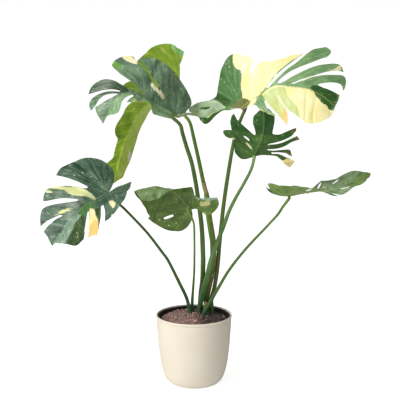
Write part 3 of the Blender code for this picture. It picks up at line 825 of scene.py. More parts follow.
    @staticmethod
    def grain(flat: np.ndarray) -> np.ndarray:
        """Coordinates along and across the veins, which fan out round the stalk's end.

        Args:
            flat: Flat drawing points in mm.

        Returns:
            Distance along the nearest vein and place across the veins, in mm.
        """
        u, out = flat[:, 0], np.abs(flat[:, 1])
        start = u - VEIN_SLANT * out
        angle = np.arctan2(out, u) - math.atan2(1.0, VEIN_SLANT)
        fan, other_half = 60.0, 700.0
        across = np.where(start > 0, start, -fan * np.maximum(angle, 0))
        reach = np.where(start > 0, out * math.hypot(1.0, VEIN_SLANT), np.hypot(u, out))
        return np.stack([reach, across + np.where(flat[:, 1] < 0, other_half, 0.0)], 1)

    @staticmethod
    def normals(places: np.ndarray, faces: np.ndarray) -> np.ndarray:
        """Vertex normals of an open sheet."""
        a, b, c = (places[faces[:, k]] for k in range(3))
        face_normal = np.cross(b - a, c - a)
        out = np.zeros_like(places)
        for k in range(3):
            np.add.at(out, faces[:, k], face_normal)
        return unit(out)

    def dress(self, mesh: bpy.types.Mesh, flat: np.ndarray, upper_count: int,
              lines: Dict[str, np.ndarray]) -> None:
        """Writes the mark fields and gives the two faces their finishes.

        Args:
            mesh: The blade.
            flat: Flat coordinates of the upper sheet's points.
            upper_count: Number of faces on the upper side, which come first.
            lines: Distances to the midrib and to the side veins.
        """
        fields = dict(lines)
        kinds = [kind for kind in Mark if kind in self.drawing.marks]
        for kind in kinds:
            depth = np.full(len(flat), -FAR_MM)
            for area in self.drawing.marks[kind]:
                ring = smooth_path([*area, area[0]], 4)[:-1]
                gap = edge_distance(flat, ring, True)
                depth = np.maximum(depth, np.where(inside(flat, ring), gap, -gap))
            fields[kind.value] = depth
        for name, values in fields.items():
            write_field(mesh, name, np.tile(values, 2))
        for name, places in ((UV_NAME, flat), (GRAIN_NAME, self.grain(flat))):
            write_skin(mesh, name, np.vstack([places, places]) * MM)
        for finish in (self.upper, self.under):
            mesh.materials.append(finish.material(kinds))
        slots = np.ones(len(mesh.polygons), dtype=np.int32)
        slots[:upper_count] = 0
        mesh.polygons.foreach_set("material_index", slots)
        smooth(mesh, 55)


@dataclass(frozen=True)
class StalkFinish:
    """Smooth waxy stalk skin: fine lengthwise streaks, darker below and paler at the joint."""

    name: str
    low: str
    middle: str
    high: str
    streak: str
    roughness: float = 0.38

    def material(self) -> bpy.types.Material:
        """Builds the node material."""
        material = new_material(self.name, self.roughness, WAX_IOR)
        tree = material.node_tree
        skin = add_node(tree, "ShaderNodeUVMap", {"uv_map": UV_NAME}).outputs[0]
        height = add_ramp(tree, add_field(tree, "share"), (self.low, self.high),
                          ((0.1, self.low), (0.3, self.middle), (0.9, self.middle)))
        fibre = add_noise(tree, add_stretch(tree, skin, (1.0, 0.05, 1.0)), 2.6, 3.0)
        streaks = add_range(tree, fibre, 0.45, 0.72, 0.0, 0.5)
        feed_shader(material, {"Base Color": add_mix(tree, streaks, height, linear(self.streak)),
                               "Normal": add_bump(tree, fibre, 0.3, 0.5)})
        return material


def sweep(name: str, path: np.ndarray, radii: np.ndarray, sides: int, arc: float = 360.0,
          turn: float = 0.0) -> bpy.types.Mesh:
    """A stem, or part of a sleeve, swept along a path.

    Args:
        name: The mesh's name.
        path: Points in mm.
        radii: One radius in mm for each point.
        sides: Faces round it.
        arc: Degrees of the circle that it covers.
        turn: Where the arc starts, in degrees.

    Returns:
        The mesh, with its share of the length and its skin coordinates.
    """
    tangent = unit(np.gradient(path, axis=0))
    across = unit(np.cross(tangent[0], (0.0, 1.0, 0.2)))
    rows, whole = [], arc >= 360.0
    angles = np.radians(turn + np.linspace(0, arc, sides, endpoint=not whole))
    for point, way, radius in zip(path, tangent, radii):
        across = unit(across - way * (across @ way))
        ring = np.outer(np.cos(angles), across) + np.outer(np.sin(angles), np.cross(way, across))
        rows.append(point + ring * radius)
    faces: List[Tuple[int, ...]] = []
    end = (len(path) - 1) * sides
    for i in range(0, end, sides):
        for j in range(sides if whole else sides - 1):
            k = (j + 1) % sides
            faces.append((i + j, i + k, i + sides + k, i + sides + j))
    if whole:
        faces += [tuple(range(sides))[::-1], tuple(range(end, end + sides))]
    mesh = new_mesh(name, np.vstack(rows), faces)
    reach = run_of(path)
    write_field(mesh, "share", np.repeat(reach / reach[-1], sides))
    write_skin(mesh, UV_NAME, np.stack([np.tile(angles, len(path)) * 0.006,
                                        np.repeat(reach, sides) * MM], 1))
    smooth(mesh, 60)
    return mesh


@dataclass
class Stalk:
    """One leaf stalk: a tapering stem with a swollen paler joint under its leaf.

    The path starts in the soil; sizes are pairs of a height and the radius there, in mm.
    """

    node: str
    leaf: LeafDrawing
    path: Sequence[Place]
    sizes: Sequence[Flat]
    finish: StalkFinish
    knee_mm: float = 12.0
    soil_clear: float = 202.0
    seat_reach: float = 4.0
    rib_depth: float = 2.6
    seat_gap: float = 0.45
    joint_swell: float = 0.1
    joint_reach: float = 16.0
    joint_length: float = 14.0
    sides: int = 20

    def line(self) -> np.ndarray:
        """The stem's path, ending square under the blade and then in the leaf's midrib."""
        sheet = BentSheet(self.leaf)
        point, normal, _ = (rows[0] for rows in sheet.frame(np.array([self.seat_reach])))
        u, v = np.meshgrid(np.linspace(-3, 11, 8), np.linspace(-6, 6, 7))
        low = ((sheet.at(u.ravel(), v.ravel()) - point) @ normal).min()
        end = point + normal * (min(low, 0.0) - self.rib_depth - self.seat_gap)
        foot = [self.path[0], (self.path[0][0], self.path[0][1], self.soil_clear)]
        knee = [end - normal * self.knee_mm] if self.knee_mm else []
        run = foot + list(self.path[1:]) + knee + [end - normal * 4]
        return np.vstack([smooth_path(run, 7), end, point - normal * 1.0])

    def radii(self, heights: np.ndarray) -> np.ndarray:
        """Radii in mm at the given heights."""
        return np.interp(heights, *zip(*self.sizes))

    def build(self) -> bpy.types.Object:
        """Builds the stem and places it as a piece."""
        path = self.line()
        reach = run_of(path)
        joint = bell(reach[-1] - reach - self.joint_reach, self.joint_length)
        radii = self.radii(path[:, 2]) * (1 + self.joint_swell * joint
                                          + 0.012 * np.sin(reach / 11.0))
        radii[-1] *= 0.7
        name = self.node + "_stem"
        mesh = sweep(name, path, radii, self.sides)
        return place_piece(name, mesh, self.node, self.finish)


@dataclass
class DrySheath:
    """A strip of the dry papery sleeve that an older leaf left on a stalk."""

    name: str
    stalk: Stalk
    low: float
    high: float
    turn: float
    arc: float
    finish: StalkFinish
    gap: float = 0.4
    flare: float = 0.9
    crumple: float = 0.25
    paper: float = 0.4
    sides: int = 14

    def build(self) -> bpy.types.Object:
        """Builds the open strip, a little off the stalk."""
        line = self.stalk.line()
        line = smooth_path(line[(line[:, 2] > self.low) & (line[:, 2] < self.high)], 3)
        share = np.linspace(0, 1, len(line))
        radii = (self.stalk.radii(line[:, 2]) * 1.02 + self.gap + self.flare * share ** 6
                 + self.crumple * ripple(share * 6, share * 2, 8))
        mesh = sweep(self.name, line, radii, self.sides, arc=self.arc, turn=self.turn)
        piece = place_piece(self.name, mesh, finish=self.finish)
        piece.modifiers.new("paper", "SOLIDIFY").thickness = self.paper * MM
        return piece


@dataclass
class SideRib:
    """The pale olive rib that branches sideways from the upper left stalk's joint."""

    path: Sequence[Place] = ((-64, -91, 799), (-52, -89, 792), (-42, -87, 788),
                             (-21, -80, 793.5), (-1.5, -72, 791), (15, -64, 785))
    radii: Sequence[float] = (2.0, 4.2, 4.6, 3.6, 3.1, 1.4)
    sides: int = 14

    def build(self) -> bpy.types.Object:
        """Builds the rib and places it as a piece."""
        line = smooth_path(self.path, 6)
        radii = along(self.radii, np.linspace(0, 1, len(line)))
        finish = StalkFinish("stalk_skin_pale_rib", "#7f9462", "#8ea272", "#9aac80", "#aab88e")
        return place_piece("stalk_upper_left_side_rib",
                           sweep("side_rib", line, radii, self.sides), finish=finish)


def level_ring(steps: int, radius: float, height: float) -> np.ndarray:
    """Points of a level circle round the axis, one a row."""
    angles = np.linspace(0, 2 * math.pi, steps, endpoint=False)
    return np.column_stack([np.cos(angles) * radius, np.sin(angles) * radius,
                            np.full(steps, height)])


def turned_mesh(name: str, places: np.ndarray, steps: int) -> bpy.types.Mesh:
    """A mesh of rings of points between two points on the axis.

    Args:
        name: The mesh's name.
        places: The first axis point, the rings and the last axis point, in mm.
        steps: Points in each ring.

    Returns:
        The mesh.
    """
    faces: List[Tuple[int, ...]] = []
    last = len(places) - 1
    for j in range(steps):
        k = (j + 1) % steps
        faces.append((0, 1 + j, 1 + k))
        for a in range(1, last - steps, steps):
            faces.append((a + k, a + j, a + steps + j, a + steps + k))
        faces.append((last, last - steps + k, last - steps + j))
    return new_mesh(name, places, faces)


@dataclass
class Turned:
    """A turned piece from a profile of (radius, height) in mm, closed on the axis."""

    name: str
    node: str
    slot: str
    profile: Sequence[Flat]
    finish: Any
    steps: int = 144

    def build(self) -> bpy.types.Object:
        """Builds the piece and places it."""
        line = np.asarray(self.profile, float)
        rows = [level_ring(self.steps, radius, height) for radius, height in line[1:-1]]
        places = np.vstack([[(0.0, 0.0, line[0, 1])], *rows, [(0.0, 0.0, line[-1, 1])]])
        mesh = turned_mesh(self.name, places, self.steps)
        smooth(mesh, 50)
        return place_piece(self.name, mesh, self.node, self.finish)


@dataclass(frozen=True)
class CreamGlaze:
    """Matt cream glaze on earthenware: soft broad highlights and a faint brushed unevenness."""

    body: str = "#f9f3e7"
    shade: str = "#f1e7d2"

    def material(self) -> bpy.types.Material:
        """Builds the node material."""
        material = new_material("cream_matt_glaze", 0.4, 1.5)
        tree = material.node_tree
        place = add_node(tree, "ShaderNodeTexCoord").outputs["Object"]
        grain = add_noise(tree, place, 2.4, 2.0)
        feed_shader(material, {
            "Base Color": add_mix(tree, add_noise(tree, place, 60, 4.0), linear(self.shade),
                                  linear(self.body)),
            "Roughness": add_range(tree, grain, 0.3, 0.7, 0.36, 0.5),
            "Normal": add_bump(tree, grain, 0.12, 0.4)})
        return material


@dataclass(frozen=True)
class DarkPlastic:
    """Moulded polypropylene of the nursery pot: near black, dull, with dusty smears of soil."""

    body: str = "#201f20"
    dust: str = "#3d3532"

    def material(self) -> bpy.types.Material:
        """Builds the node material."""
        material = new_material("nursery_pot_polypropylene", 0.5, 1.49)
        tree = material.node_tree
        place = add_node(tree, "ShaderNodeTexCoord").outputs["Object"]
        smears = add_range(tree, add_noise(tree, place, 14, 5.0), 0.48, 0.75)
        feed_shader(material, {"Base Color": add_mix(tree, smears, linear(self.body),
                                                     linear(self.dust))})
        return material


@dataclass(frozen=True)
class SoilFinish:
    """Peat and coir crumbs: fully rough, brown where dry and almost black where damp."""

    name: str
    damp: str = "#4a4241"
    dry: str = "#c4a19a"
    pale: str = "#e4cbc2"

    def material(self) -> bpy.types.Material:
        """Builds the node material, driven by each crumb's own tone."""
        material = new_material(self.name, 0.95, 1.4)
        tree = material.node_tree
        place = add_node(tree, "ShaderNodeTexCoord").outputs["Object"]
        feed_shader(material, {
            "Base Color": add_ramp(tree, add_field(tree, "tone"), (self.damp, self.pale),
                                   ((0.6, self.dry),)),
            "Normal": add_bump(tree, add_noise(tree, place, 1.8, 4.0), 0.5, 0.8)})
        return material


WAXY_GREEN = StalkFinish("stalk_skin_green", "#28604a", "#47692c", "#6d8a44", "#7a9a52")
WAXY_BRIGHT = StalkFinish("stalk_skin_bright", "#2c5f3e", "#4e752c", "#7c9a4c", "#7f9e58")
WAXY_FRESH = StalkFinish("stalk_skin_fresh", "#3a6a30", "#5f8a2e", "#7f9f3f", "#86a648")
WAXY_OLIVE = StalkFinish("stalk_skin_olive", "#285f48", "#5c8034", "#86a04a", "#7c9048")
WAXY_BROWNISH = StalkFinish("stalk_skin_brownish", "#3c6636", "#5b7d33", "#6f6a44", "#7f7c48")
WAXY_DEEP = StalkFinish("stalk_skin_deep", "#3c6e50", "#5d8a44", "#92ad66", "#8dae70")


LEAF_LOWER_LEFT = LeafDrawing(
    node="leaf_lower_left", slot="leaf_dark",
    spine=[(-237, -60, 574), (-273, -85, 558), (-312, -105, 533), (-346, -115, 493),
           (-389, -120, 433)],
    faces=[(-0.45, -0.75, 0.5), (-0.5, -0.75, 0.35), (-0.5, -0.8, 0.2)],
    fold=((40, 28, 20, 15), (20, 17, 13, 10)), curl=((-8, -6, -6), (-8, -8)), back_bend=-10,
    outline=[
        [(-12, -6), (-30, -20), (-48, -42), (-55, -65), (-50, -89), (-40, -110), (-24, -127),
         (-2, -136), (22, -139), (45, -142), (67, -141), (84, -131)],
        [(75, -113), (63, -88), (50, -64), (43, -47), (43, -41), (48, -41), (56, -50), (70, -67),
         (91, -92), (107, -115), (118, -120), (131, -118), (147, -108)],
        [(128, -86), (105, -59), (90, -36), (84, -26), (90, -26), (100, -36), (119, -55),
         (138, -76), (154, -89), (169, -91), (189, -79), (205, -65)],
        [(186, -59), (163, -46), (146, -35), (142, -30), (148, -30), (160, -37), (188, -45),
         (210, -47)],
        [(216, -24), (226, 0)],
        [(214, 4), (196, 37), (181, 74), (170, 88), (150, 98)],
        [(134, 84), (116, 66), (98, 47), (90, 42), (92, 50), (104, 72), (122, 94), (140, 112)],
        [(126, 132), (122, 145)],
        [(106, 135), (82, 105), (66, 74), (60, 64), (56, 64), (58, 76), (66, 100), (78, 122),
         (85, 136)],
        [(68, 142), (48, 142), (26, 132), (0, 110), (-24, 84), (-46, 54), (-62, 26), (-70, 2)],
        [(-46, 2), (-24, 3), (-10, 3), (0, 0)]],
    vein_tips=[(80, -128), (50, -140), (18, -136), (-22, -122), (-48, -92), (-40, -48),
               (144, -108), (120, -117), (200, -68), (168, -90), (214, -30), (136, 110),
               (124, 140), (84, 134), (56, 140), (26, 130), (0, 108), (-26, 80), (-48, 46),
               (168, 86), (150, 96), (196, 36), (214, 14)],
    marks={
        Mark.FRESH: [[(104, -4), (71, -1), (64, 23), (74, 50), (96, 44), (113, 44), (113, 21)]],
        # Painted sheen: the pale band where this lobe catches the light.
        Mark.PAINTED_SHEEN: [[(112, 5), (112, 26), (143, 38), (196, 33), (226, 0), (170, -5), (128, -4)]],
        Mark.DEEP: [[(72, 56), (65, 71), (76, 92), (96, 123), (95, 110), (86, 81)],
                    [(104, 30), (114, 62), (134, 97), (166, 96), (186, 78), (187, 53), (156, 41),
                     (132, 27)]],
        Mark.LIME: [[(110, -124), (92, -93), (72, -67), (53, -46), (46, -13), (44, -1), (52, -1),
                     (64, -21), (76, -34), (86, -49), (92, -69), (103, -97), (113, -119)],
                    [(119, -124), (111, -103), (115, -102), (122, -118)],
                    [(156, -50), (138, -42), (124, -36), (116, -27), (112, -16), (125, -26),
                     (142, -35)]],
        Mark.CREAM: [[(142, 118), (134, 81), (110, 80), (96, 60), (83, 39), (78, 51), (83, 75),
                      (92, 102), (98, 120), (112, 140), (124, 150)],
                     [(41, 74), (39, 83), (40, 111), (52, 121), (49, 105)]],
        Mark.GOLD: [[(110, 92), (96, 100), (101, 126), (122, 152), (144, 118), (132, 92)]]})

LEAF_UPPER_LEFT = LeafDrawing(
    node="leaf_upper_left", slot="leaf_dark",
    spine=[(-46, -90, 793), (-90, -120, 819), (-130, -140, 843), (-169, -155, 859),
           (-208, -165, 843), (-240, -170, 776)],
    faces=[(-0.2, -0.65, 0.7), (-0.3, -0.65, 0.7), (-0.75, -0.6, 0.2)],
    fold=((26, 25, 20), (42, 36, 20)), curl=((-2, -2), (-8, -10)),
    outline=[
        [(-12, -7), (-26, -22), (-34, -38), (-31, -50), (-18, -64), (2, -78), (20, -90), (45, -101),
         (75, -104), (100, -108), (122, -109), (136, -103), (145, -93)],
        [(138, -81), (122, -66), (103, -56), (91, -44), (89, -38), (95, -39), (104, -46),
         (118, -54), (130, -64), (139, -72), (147, -85), (151, -100), (160, -100), (170, -94),
         (175, -84)],
        [(174, -74), (167, -49), (153, -30), (136, -16), (118, -9), (114, -6), (120, -5), (140, -6),
         (159, -10), (171, -22), (180, -40), (190, -60), (200, -71), (211, -75), (222, -73)],
        [(208, -50), (197, -32), (184, -14), (178, -7), (182, -7), (192, -18), (203, -34),
         (218, -52), (233, -62), (249, -62), (257, -52)],
        [(241, -44), (225, -40), (210, -31), (199, -18), (190, -7), (186, -4), (192, -4),
         (205, -10), (222, -24), (244, -42)],
        [(256, -30), (266, -16), (276, 0)],
        [(255, 2), (246, 22), (240, 45), (234, 68), (226, 80)],
        [(205, 66), (180, 44), (160, 26), (150, 18), (150, 24), (158, 40), (172, 58), (186, 76)],
        [(166, 80), (150, 70), (132, 48), (114, 28), (104, 20), (98, 22), (96, 34), (98, 54),
         (96, 72)],
        [(82, 73), (68, 77), (55, 78)],
        [(47, 56), (38, 36), (26, 18), (12, 8), (0, 0)]],
    vein_tips=[(20, -88), (-10, -70), (-30, -44), (50, -100), (84, -104), (112, -106), (140, -96),
               (172, -88), (156, -98), (218, -73), (196, -70), (252, -56), (244, -42), (94, 76),
               (70, 98), (44, 96), (24, 76), (8, 40), (184, 76), (160, 74), (226, 78), (236, 56),
               (250, 14)],
    marks={
        Mark.FRESH: [[(178, -86), (170, -95), (166, -76), (166, -61), (173, -69)]],
        # Painted sheen over the near half of the blade, which catches light at a grazing angle.
        Mark.PAINTED_SHEEN: [[(-2, 5), (40, 6), (100, 5), (150, 6), (200, 5), (246, 4), (266, 40),
                       (236, 92), (180, 92), (96, 88), (60, 114), (6, 104), (-8, 40)]],
        Mark.DEEP: [[(232, -78), (196, -76), (182, -56), (160, -4), (184, -4), (206, -30)]],
        Mark.LIME: [[(98, 56), (95, 30), (108, 23), (124, 31), (148, 50), (174, 84), (160, 84),
                     (132, 58), (112, 44)]],
        Mark.CREAM: [[(110, -43), (101, -43), (87, -38), (74, -35), (58, -29), (58, -20),
                      (72, -21), (82, -26), (96, -29), (107, -36)],
                     [(160, -106), (151, -106), (149, -93), (146, -84), (148, -77), (153, -80),
                      (160, -92)]]})

LEAF_BACK = LeafDrawing(
    node="leaf_back", slot="leaf_lime",
    spine=[(-20, 50, 791), (-75, 100, 809), (-129, 150, 805), (-175, 180, 759), (-211, 190, 677),
           (-245, 190, 559)],
    faces=[(0.1, 0.85, 0.5), (-0.2, 0.85, 0.4), (-0.5, 0.8, 0.1), (-0.4, 0.9, -0.1)],
    fold=((8, 5, 0, 0), (72, 50, 42, 45)), curl=((-6, -6), (-6, -6)),
    outline=[
        [(-5, 8), (0, 24), (12, 50), (20, 80), (18, 112), (6, 142), (-12, 172), (-31, 205)],
        [(-6, 209), (22, 210), (44, 205), (66, 194), (81, 177), (104, 156), (130, 134)],
        [(116, 96), (104, 62), (98, 40), (102, 34), (110, 44), (126, 74), (146, 98), (168, 100)],
        [(164, 70), (156, 44), (154, 30), (160, 26), (172, 36), (192, 42), (229, 42), (256, 46),
         (274, 46), (286, 42)],
        [(294, 36), (302, 26), (312, 25), (340, 24), (363, 24), (382, 36), (402, 34)],
        [(424, 18), (437, 0), (430, -28), (420, -52)],
        [(406, -61), (390, -68), (372, -76), (352, -86), (332, -92)],
        [(308, -94)],
        [(283, -93), (247, -92), (216, -88), (190, -90), (168, -96)],
        [(154, -72), (142, -50), (134, -42), (128, -48), (126, -72), (118, -104)],
        [(92, -98), (66, -84), (44, -64), (26, -42), (12, -22), (0, 0)]],
    vein_tips=[(-28, 200), (0, 204), (30, 204), (60, 194), (90, 168), (126, 134), (165, 98),
               (140, 90), (270, 44), (230, 42), (190, 40), (360, 24), (400, 34), (320, 24),
               (118, -100), (92, -96), (66, -80), (30, -44), (168, -92), (150, -66), (306, -80),
               (270, -66), (230, -58), (196, -62), (355, -78), (330, -56), (400, -58),
               (420, -50)],
    marks={
        Mark.FRESH: [[(311, 32), (288, 0), (252, -52), (230, -72), (300, -102), (360, -92),
                      (440, -62), (452, 10), (420, 44), (350, 44)]],
        # Painted sheen on the silvery flap at the tip.
        Mark.PAINTED_SHEEN: [[(40, 197), (2, 222), (-42, 216), (-12, 185), (18, 190)]],
        # Painted light: the flap that faces away from the key light is brightened as if light shone
        # through it.
        Mark.GLOW: [[(150, -4), (440, -4), (440, -100), (150, -100)]],
        Mark.CREAM: [[(342, -55), (335, -64), (358, -86), (372, -74), (355, -56)]]})

LEAF_MIDDLE = LeafDrawing(
    node="leaf_middle", slot="leaf_olive",
    spine=[(-5, -130, 536), (-37, -115, 567), (-69, -115, 593), (-119, -130, 601),
           (-166, -150, 589)],
    faces=[(0.15, 0.9, 0.4), (0.05, 0.9, 0.4), (-0.1, 0.7, 0.7)],
    fold=((5, -40, -80, -70), (5, 0, -5, -10)), curl=((-5, -5), (-3, -3)),
    outline=[
        [(-10, -10), (-18, -28), (-20, -50), (-14, -76), (2, -97), (24, -111), (50, -117),
         (80, -116), (109, -108), (132, -96), (150, -83), (165, -62), (173, -42), (184, -20),
         (190, 0)],
        [(188, 26), (190, 50)],
        [(176, 64), (160, 68), (140, 62), (122, 56), (104, 64), (90, 69), (74, 66)],
        [(60, 64), (50, 62), (44, 66), (38, 70), (32, 68), (24, 54), (14, 41), (0, 46), (-14, 64),
         (-33, 84)],
        [(-46, 76), (-52, 60), (-50, 36), (-44, 24), (-32, 19), (-16, 15), (-6, 10), (0, 0)]],
    vein_tips=[(-12, -40), (-8, -80), (24, -108), (60, -116), (100, -108), (136, -92), (166, -60),
               (182, -20), (-30, 80), (-46, 50), (40, 66), (74, 64), (110, 58), (150, 62),
               (180, 60), (188, 26)],
    marks={
        # Painted sheen on the folded-over flap.
        Mark.PAINTED_SHEEN: [[(16, 42), (-4, 56), (-30, 90), (-42, 84), (-22, 60), (5, 36)]],
        Mark.CREAM: [[(-4, 37), (-24, 60), (-31, 49), (-12, 28)]]},
    holes=[[(46, -85), (42, -87), (35, -73), (30, -59), (34, -57), (41, -71)]])

LEAF_UPPER_RIGHT = LeafDrawing(
    node="leaf_upper_right", slot="leaf_cream",
    spine=[(129, -30, 804), (160, -60, 832), (191, -85, 852), (230, -110, 869), (283, -140, 871),
           (335, -165, 853), (376, -180, 822)],
    faces=[(-0.15, -0.85, 0.5), (0, -0.75, 0.65), (0.2, -0.6, 0.75)],
    fold=((10, 5), (-10, -20)), curl=((-4, -4), (-14, -14)), back_bend=6,
    outline=[
        [(-14, 8), (-34, 14), (-58, 26), (-78, 28), (-96, 26), (-112, 22), (-126, 21), (-138, 26),
         (-144, 38), (-150, 56), (-163, 72), (-173, 85), (-168, 94), (-152, 95), (-134, 93),
         (-110, 85), (-84, 76), (-62, 76), (-51, 90), (-39, 104), (-20, 127), (1, 142), (26, 154),
         (41, 152), (56, 137), (68, 125), (79, 109)],
        [(72, 96), (67, 78), (68, 70), (73, 70), (80, 80), (96, 94), (112, 90), (127, 86),
         (141, 90), (152, 96), (164, 105), (184, 112)],
        [(168, 84), (152, 60), (132, 34), (114, 16), (106, 9), (112, 8), (124, 14), (142, 30),
         (160, 56), (178, 84), (188, 108), (197, 133), (205, 145), (216, 158)],
        [(228, 152), (228, 130), (219, 114), (205, 88), (186, 66), (163, 42), (147, 24), (141, 14),
         (146, 11), (158, 16), (166, 22), (192, 48), (213, 76), (228, 96), (248, 119), (260, 126),
         (268, 121), (275, 112)],
        [(263, 104), (249, 84), (231, 57), (214, 36), (190, 18), (179, 10), (186, 10), (205, 22),
         (225, 44), (244, 64), (263, 84), (278, 101), (288, 97), (300, 77), (305, 59)],
        [(293, 70), (284, 68), (269, 54), (254, 37), (247, 26), (256, 25), (271, 29), (290, 35),
         (306, 41)],
        [(315, 20), (320, 0), (327, -18), (329, -32), (321, -56), (307, -78), (288, -88),
         (260, -84), (236, -80), (209, -74), (181, -62), (158, -42), (146, -28), (142, -25),
         (144, -32), (154, -42), (170, -56), (190, -77), (204, -98), (206, -111)],
        [(188, -104), (166, -92), (144, -80), (124, -70), (108, -50), (98, -30), (94, -22),
         (92, -28), (96, -46), (106, -62), (120, -76)],
        [(111, -74), (88, -56), (68, -38), (60, -24), (46, -15), (28, -11), (10, -9), (0, 0)]],
    vein_tips=[(-168, 90), (-140, 92), (-110, 84), (-50, 86), (-22, 122), (4, 140), (28, 150),
               (56, 134), (76, 108), (112, 88), (150, 94), (182, 110), (196, 132), (216, 156),
               (226, 130), (240, 112), (262, 124), (284, 100), (300, 74), (306, 42), (328, -30),
               (308, -76), (284, -86), (250, -82), (212, -74), (180, -60), (204, -108),
               (170, -92), (140, -78), (118, -74), (88, -54), (56, -22)],
    marks={
        Mark.FRESH: [[(41, 164), (32, 134), (35, 112), (43, 94), (40, 74), (32, 57), (29, 36),
                      (22, 20), (10, -2), (0, -8), (-20, 0), (-60, 18), (-86, 24), (-86, 60),
                      (-62, 68), (-51, 88), (-39, 104), (-22, 128), (0, 152), (20, 166)]],
        # Painted sheen along the green fingers.
        Mark.PAINTED_SHEEN: [[(46, 1), (70, -1), (89, 4), (115, 18), (133, 40), (146, 58), (161, 81),
                       (181, 110), (190, 120), (198, 150), (218, 170), (240, 152), (262, 136),
                       (292, 106), (314, 60), (324, 20), (322, -15), (299, -15), (274, -14),
                       (251, 0), (194, -2), (139, 6), (113, 5), (82, -4)],
                      [(61, -14), (68, -7), (91, -4), (98, -27), (113, -70), (124, -80),
                       (97, -64), (61, -30), (44, -18)]],
        # Painted highlight: the drooping basal lobe's pale face, lit at a grazing angle.
        Mark.PAINTED_HIGHLIGHT: [[(-182, 90), (-166, 104), (-130, 102), (-100, 92), (-78, 82), (-66, 74),
                      (-70, 64), (-43, 33), (-68, 29), (-118, 31), (-146, 50), (-168, 70)]],
        # The first three dark areas are painted shade where the drooping basal lobe folds under;
        # the last is the tip's own dark green.
        Mark.DEEP: [[(-99, 84), (-77, 82), (-56, 86), (-38, 62), (-20, 34), (-43, 31), (-68, 66),
                     (-86, 77)],
                    [(-138, 76), (-119, 71), (-96, 60), (-98, 57), (-118, 62)],
                    [(-152, 56), (-146, 30), (-124, 14), (-91, 20), (-60, 18), (-56, 30),
                     (-70, 33), (-95, 37), (-118, 36)],
                    [(230, 9), (244, 21), (302, 36), (319, -15), (299, -15), (274, -14)]],
        Mark.OLIVE: [[(-35, 24), (-10, 22), (14, 24), (28, 16), (43, -3), (11, -12), (-5, 0)]],
        Mark.LIME: [[(100, -3), (149, 1), (167, -6), (176, -26), (205, -46), (235, -64),
                     (262, -88), (233, -82), (205, -77), (178, -62), (158, -38), (145, -23)],
                    [(92, -6), (98, -30), (106, -50), (120, -70), (161, -96), (212, -116),
                     (196, -88), (180, -68), (161, -54), (142, -30), (127, -9)],
                    [(-182, 94), (-172, 76), (-148, 48), (-146, 54), (-162, 80)],
                    [(-120, 38), (-95, 40), (-70, 36), (-70, 33), (-95, 36), (-118, 34)]],
        Mark.CREAM: [[(238, 70), (252, 92), (258, 114), (264, 128), (266, 112), (257, 96),
                      (245, 78)],
                     [(198, 17), (212, 36), (221, 47), (222, 42), (209, 23)],
                     [(131, 34), (136, 42), (139, 40), (135, 33)]],
        Mark.GOLD: [[(162, -62), (180, -68), (196, -88), (214, -118), (164, -98)]]})

LEAF_SMALL = LeafDrawing(
    node="leaf_small", slot="leaf_deep",
    spine=[(168, -35, 669), (180, -45, 698), (191, -50, 729), (195, -52, 769), (192, -50, 807)],
    faces=[(0.1, 0.9, 0.35), (0.05, 0.9, 0.3), (0, 0.9, 0.3)],
    fold=((5, 5), (5, 5)), curl=((-8, -8), (-8, -8)),
    outline=[
        [(-7, -8), (-16, -18), (-20, -28), (-18, -38), (-10, -53), (3, -60), (20, -66), (27, -74),
         (26, -92), (33, -104), (39, -108), (44, -102), (52, -88)],
        [(66, -88), (84, -91), (106, -94), (130, -90), (138, -82)],
        [(129, -78), (114, -73), (94, -59), (74, -37), (64, -24), (68, -20), (85, -25), (102, -31),
         (123, -29), (134, -18), (141, -8), (145, 8), (136, 20), (120, 29), (107, 29), (93, 27),
         (82, 26), (76, 28), (77, 45), (85, 63), (92, 80), (95, 90)],
        [(89, 90), (82, 84), (76, 78), (67, 60), (60, 43), (53, 27), (49, 20), (50, 25), (55, 40),
         (60, 53), (67, 70), (74, 84), (79, 95)],
        [(73, 104)],
        [(70, 94), (66, 83), (57, 68), (48, 52), (40, 36), (36, 26), (34, 28), (38, 42), (46, 58),
         (53, 78), (53, 88), (43, 99)],
        [(43, 89), (45, 79), (41, 63), (33, 46), (30, 40), (28, 44), (34, 62), (33, 85), (31, 111)],
        [(10, 106)],
        [(12, 94), (19, 78), (25, 60), (23, 46), (16, 24), (8, 10), (0, 0)]],
    vein_tips=[(-16, -34), (20, -62), (38, -104), (48, -90), (84, -88), (130, -88), (110, -28),
               (138, -10), (10, 100), (28, 108), (42, 94), (50, 84), (72, 100), (78, 92),
               (92, 88), (100, 28), (136, 20)],
    marks={
        Mark.DEEP: [[(60, -102), (62, -60), (72, -26), (72, 0), (72, 36), (58, 60), (60, 112),
                     (160, 112), (160, -102)]],
        Mark.LIME: [[(29, 86), (34, 118), (4, 112), (8, 94), (18, 70), (23, 58), (21, 44),
                     (27, 58), (21, 78)]],
        Mark.CREAM: [[(33, -36), (30, -27), (23, -17), (20, -16), (24, -27), (29, -35)],
                     [(28, -82), (33, -72), (28, -69), (25, -75)]],
        Mark.BROWN: [[(100, 96), (90, 96), (81, 82), (86, 79)],
                     [(84, 98), (70, 110), (71, 94), (79, 88)],
                     [(49, 104), (38, 104), (42, 90), (48, 90)]]},
    holes=[[(49, -50), (48, -42), (43, -31), (39, -31), (42, -41), (46, -49)]])

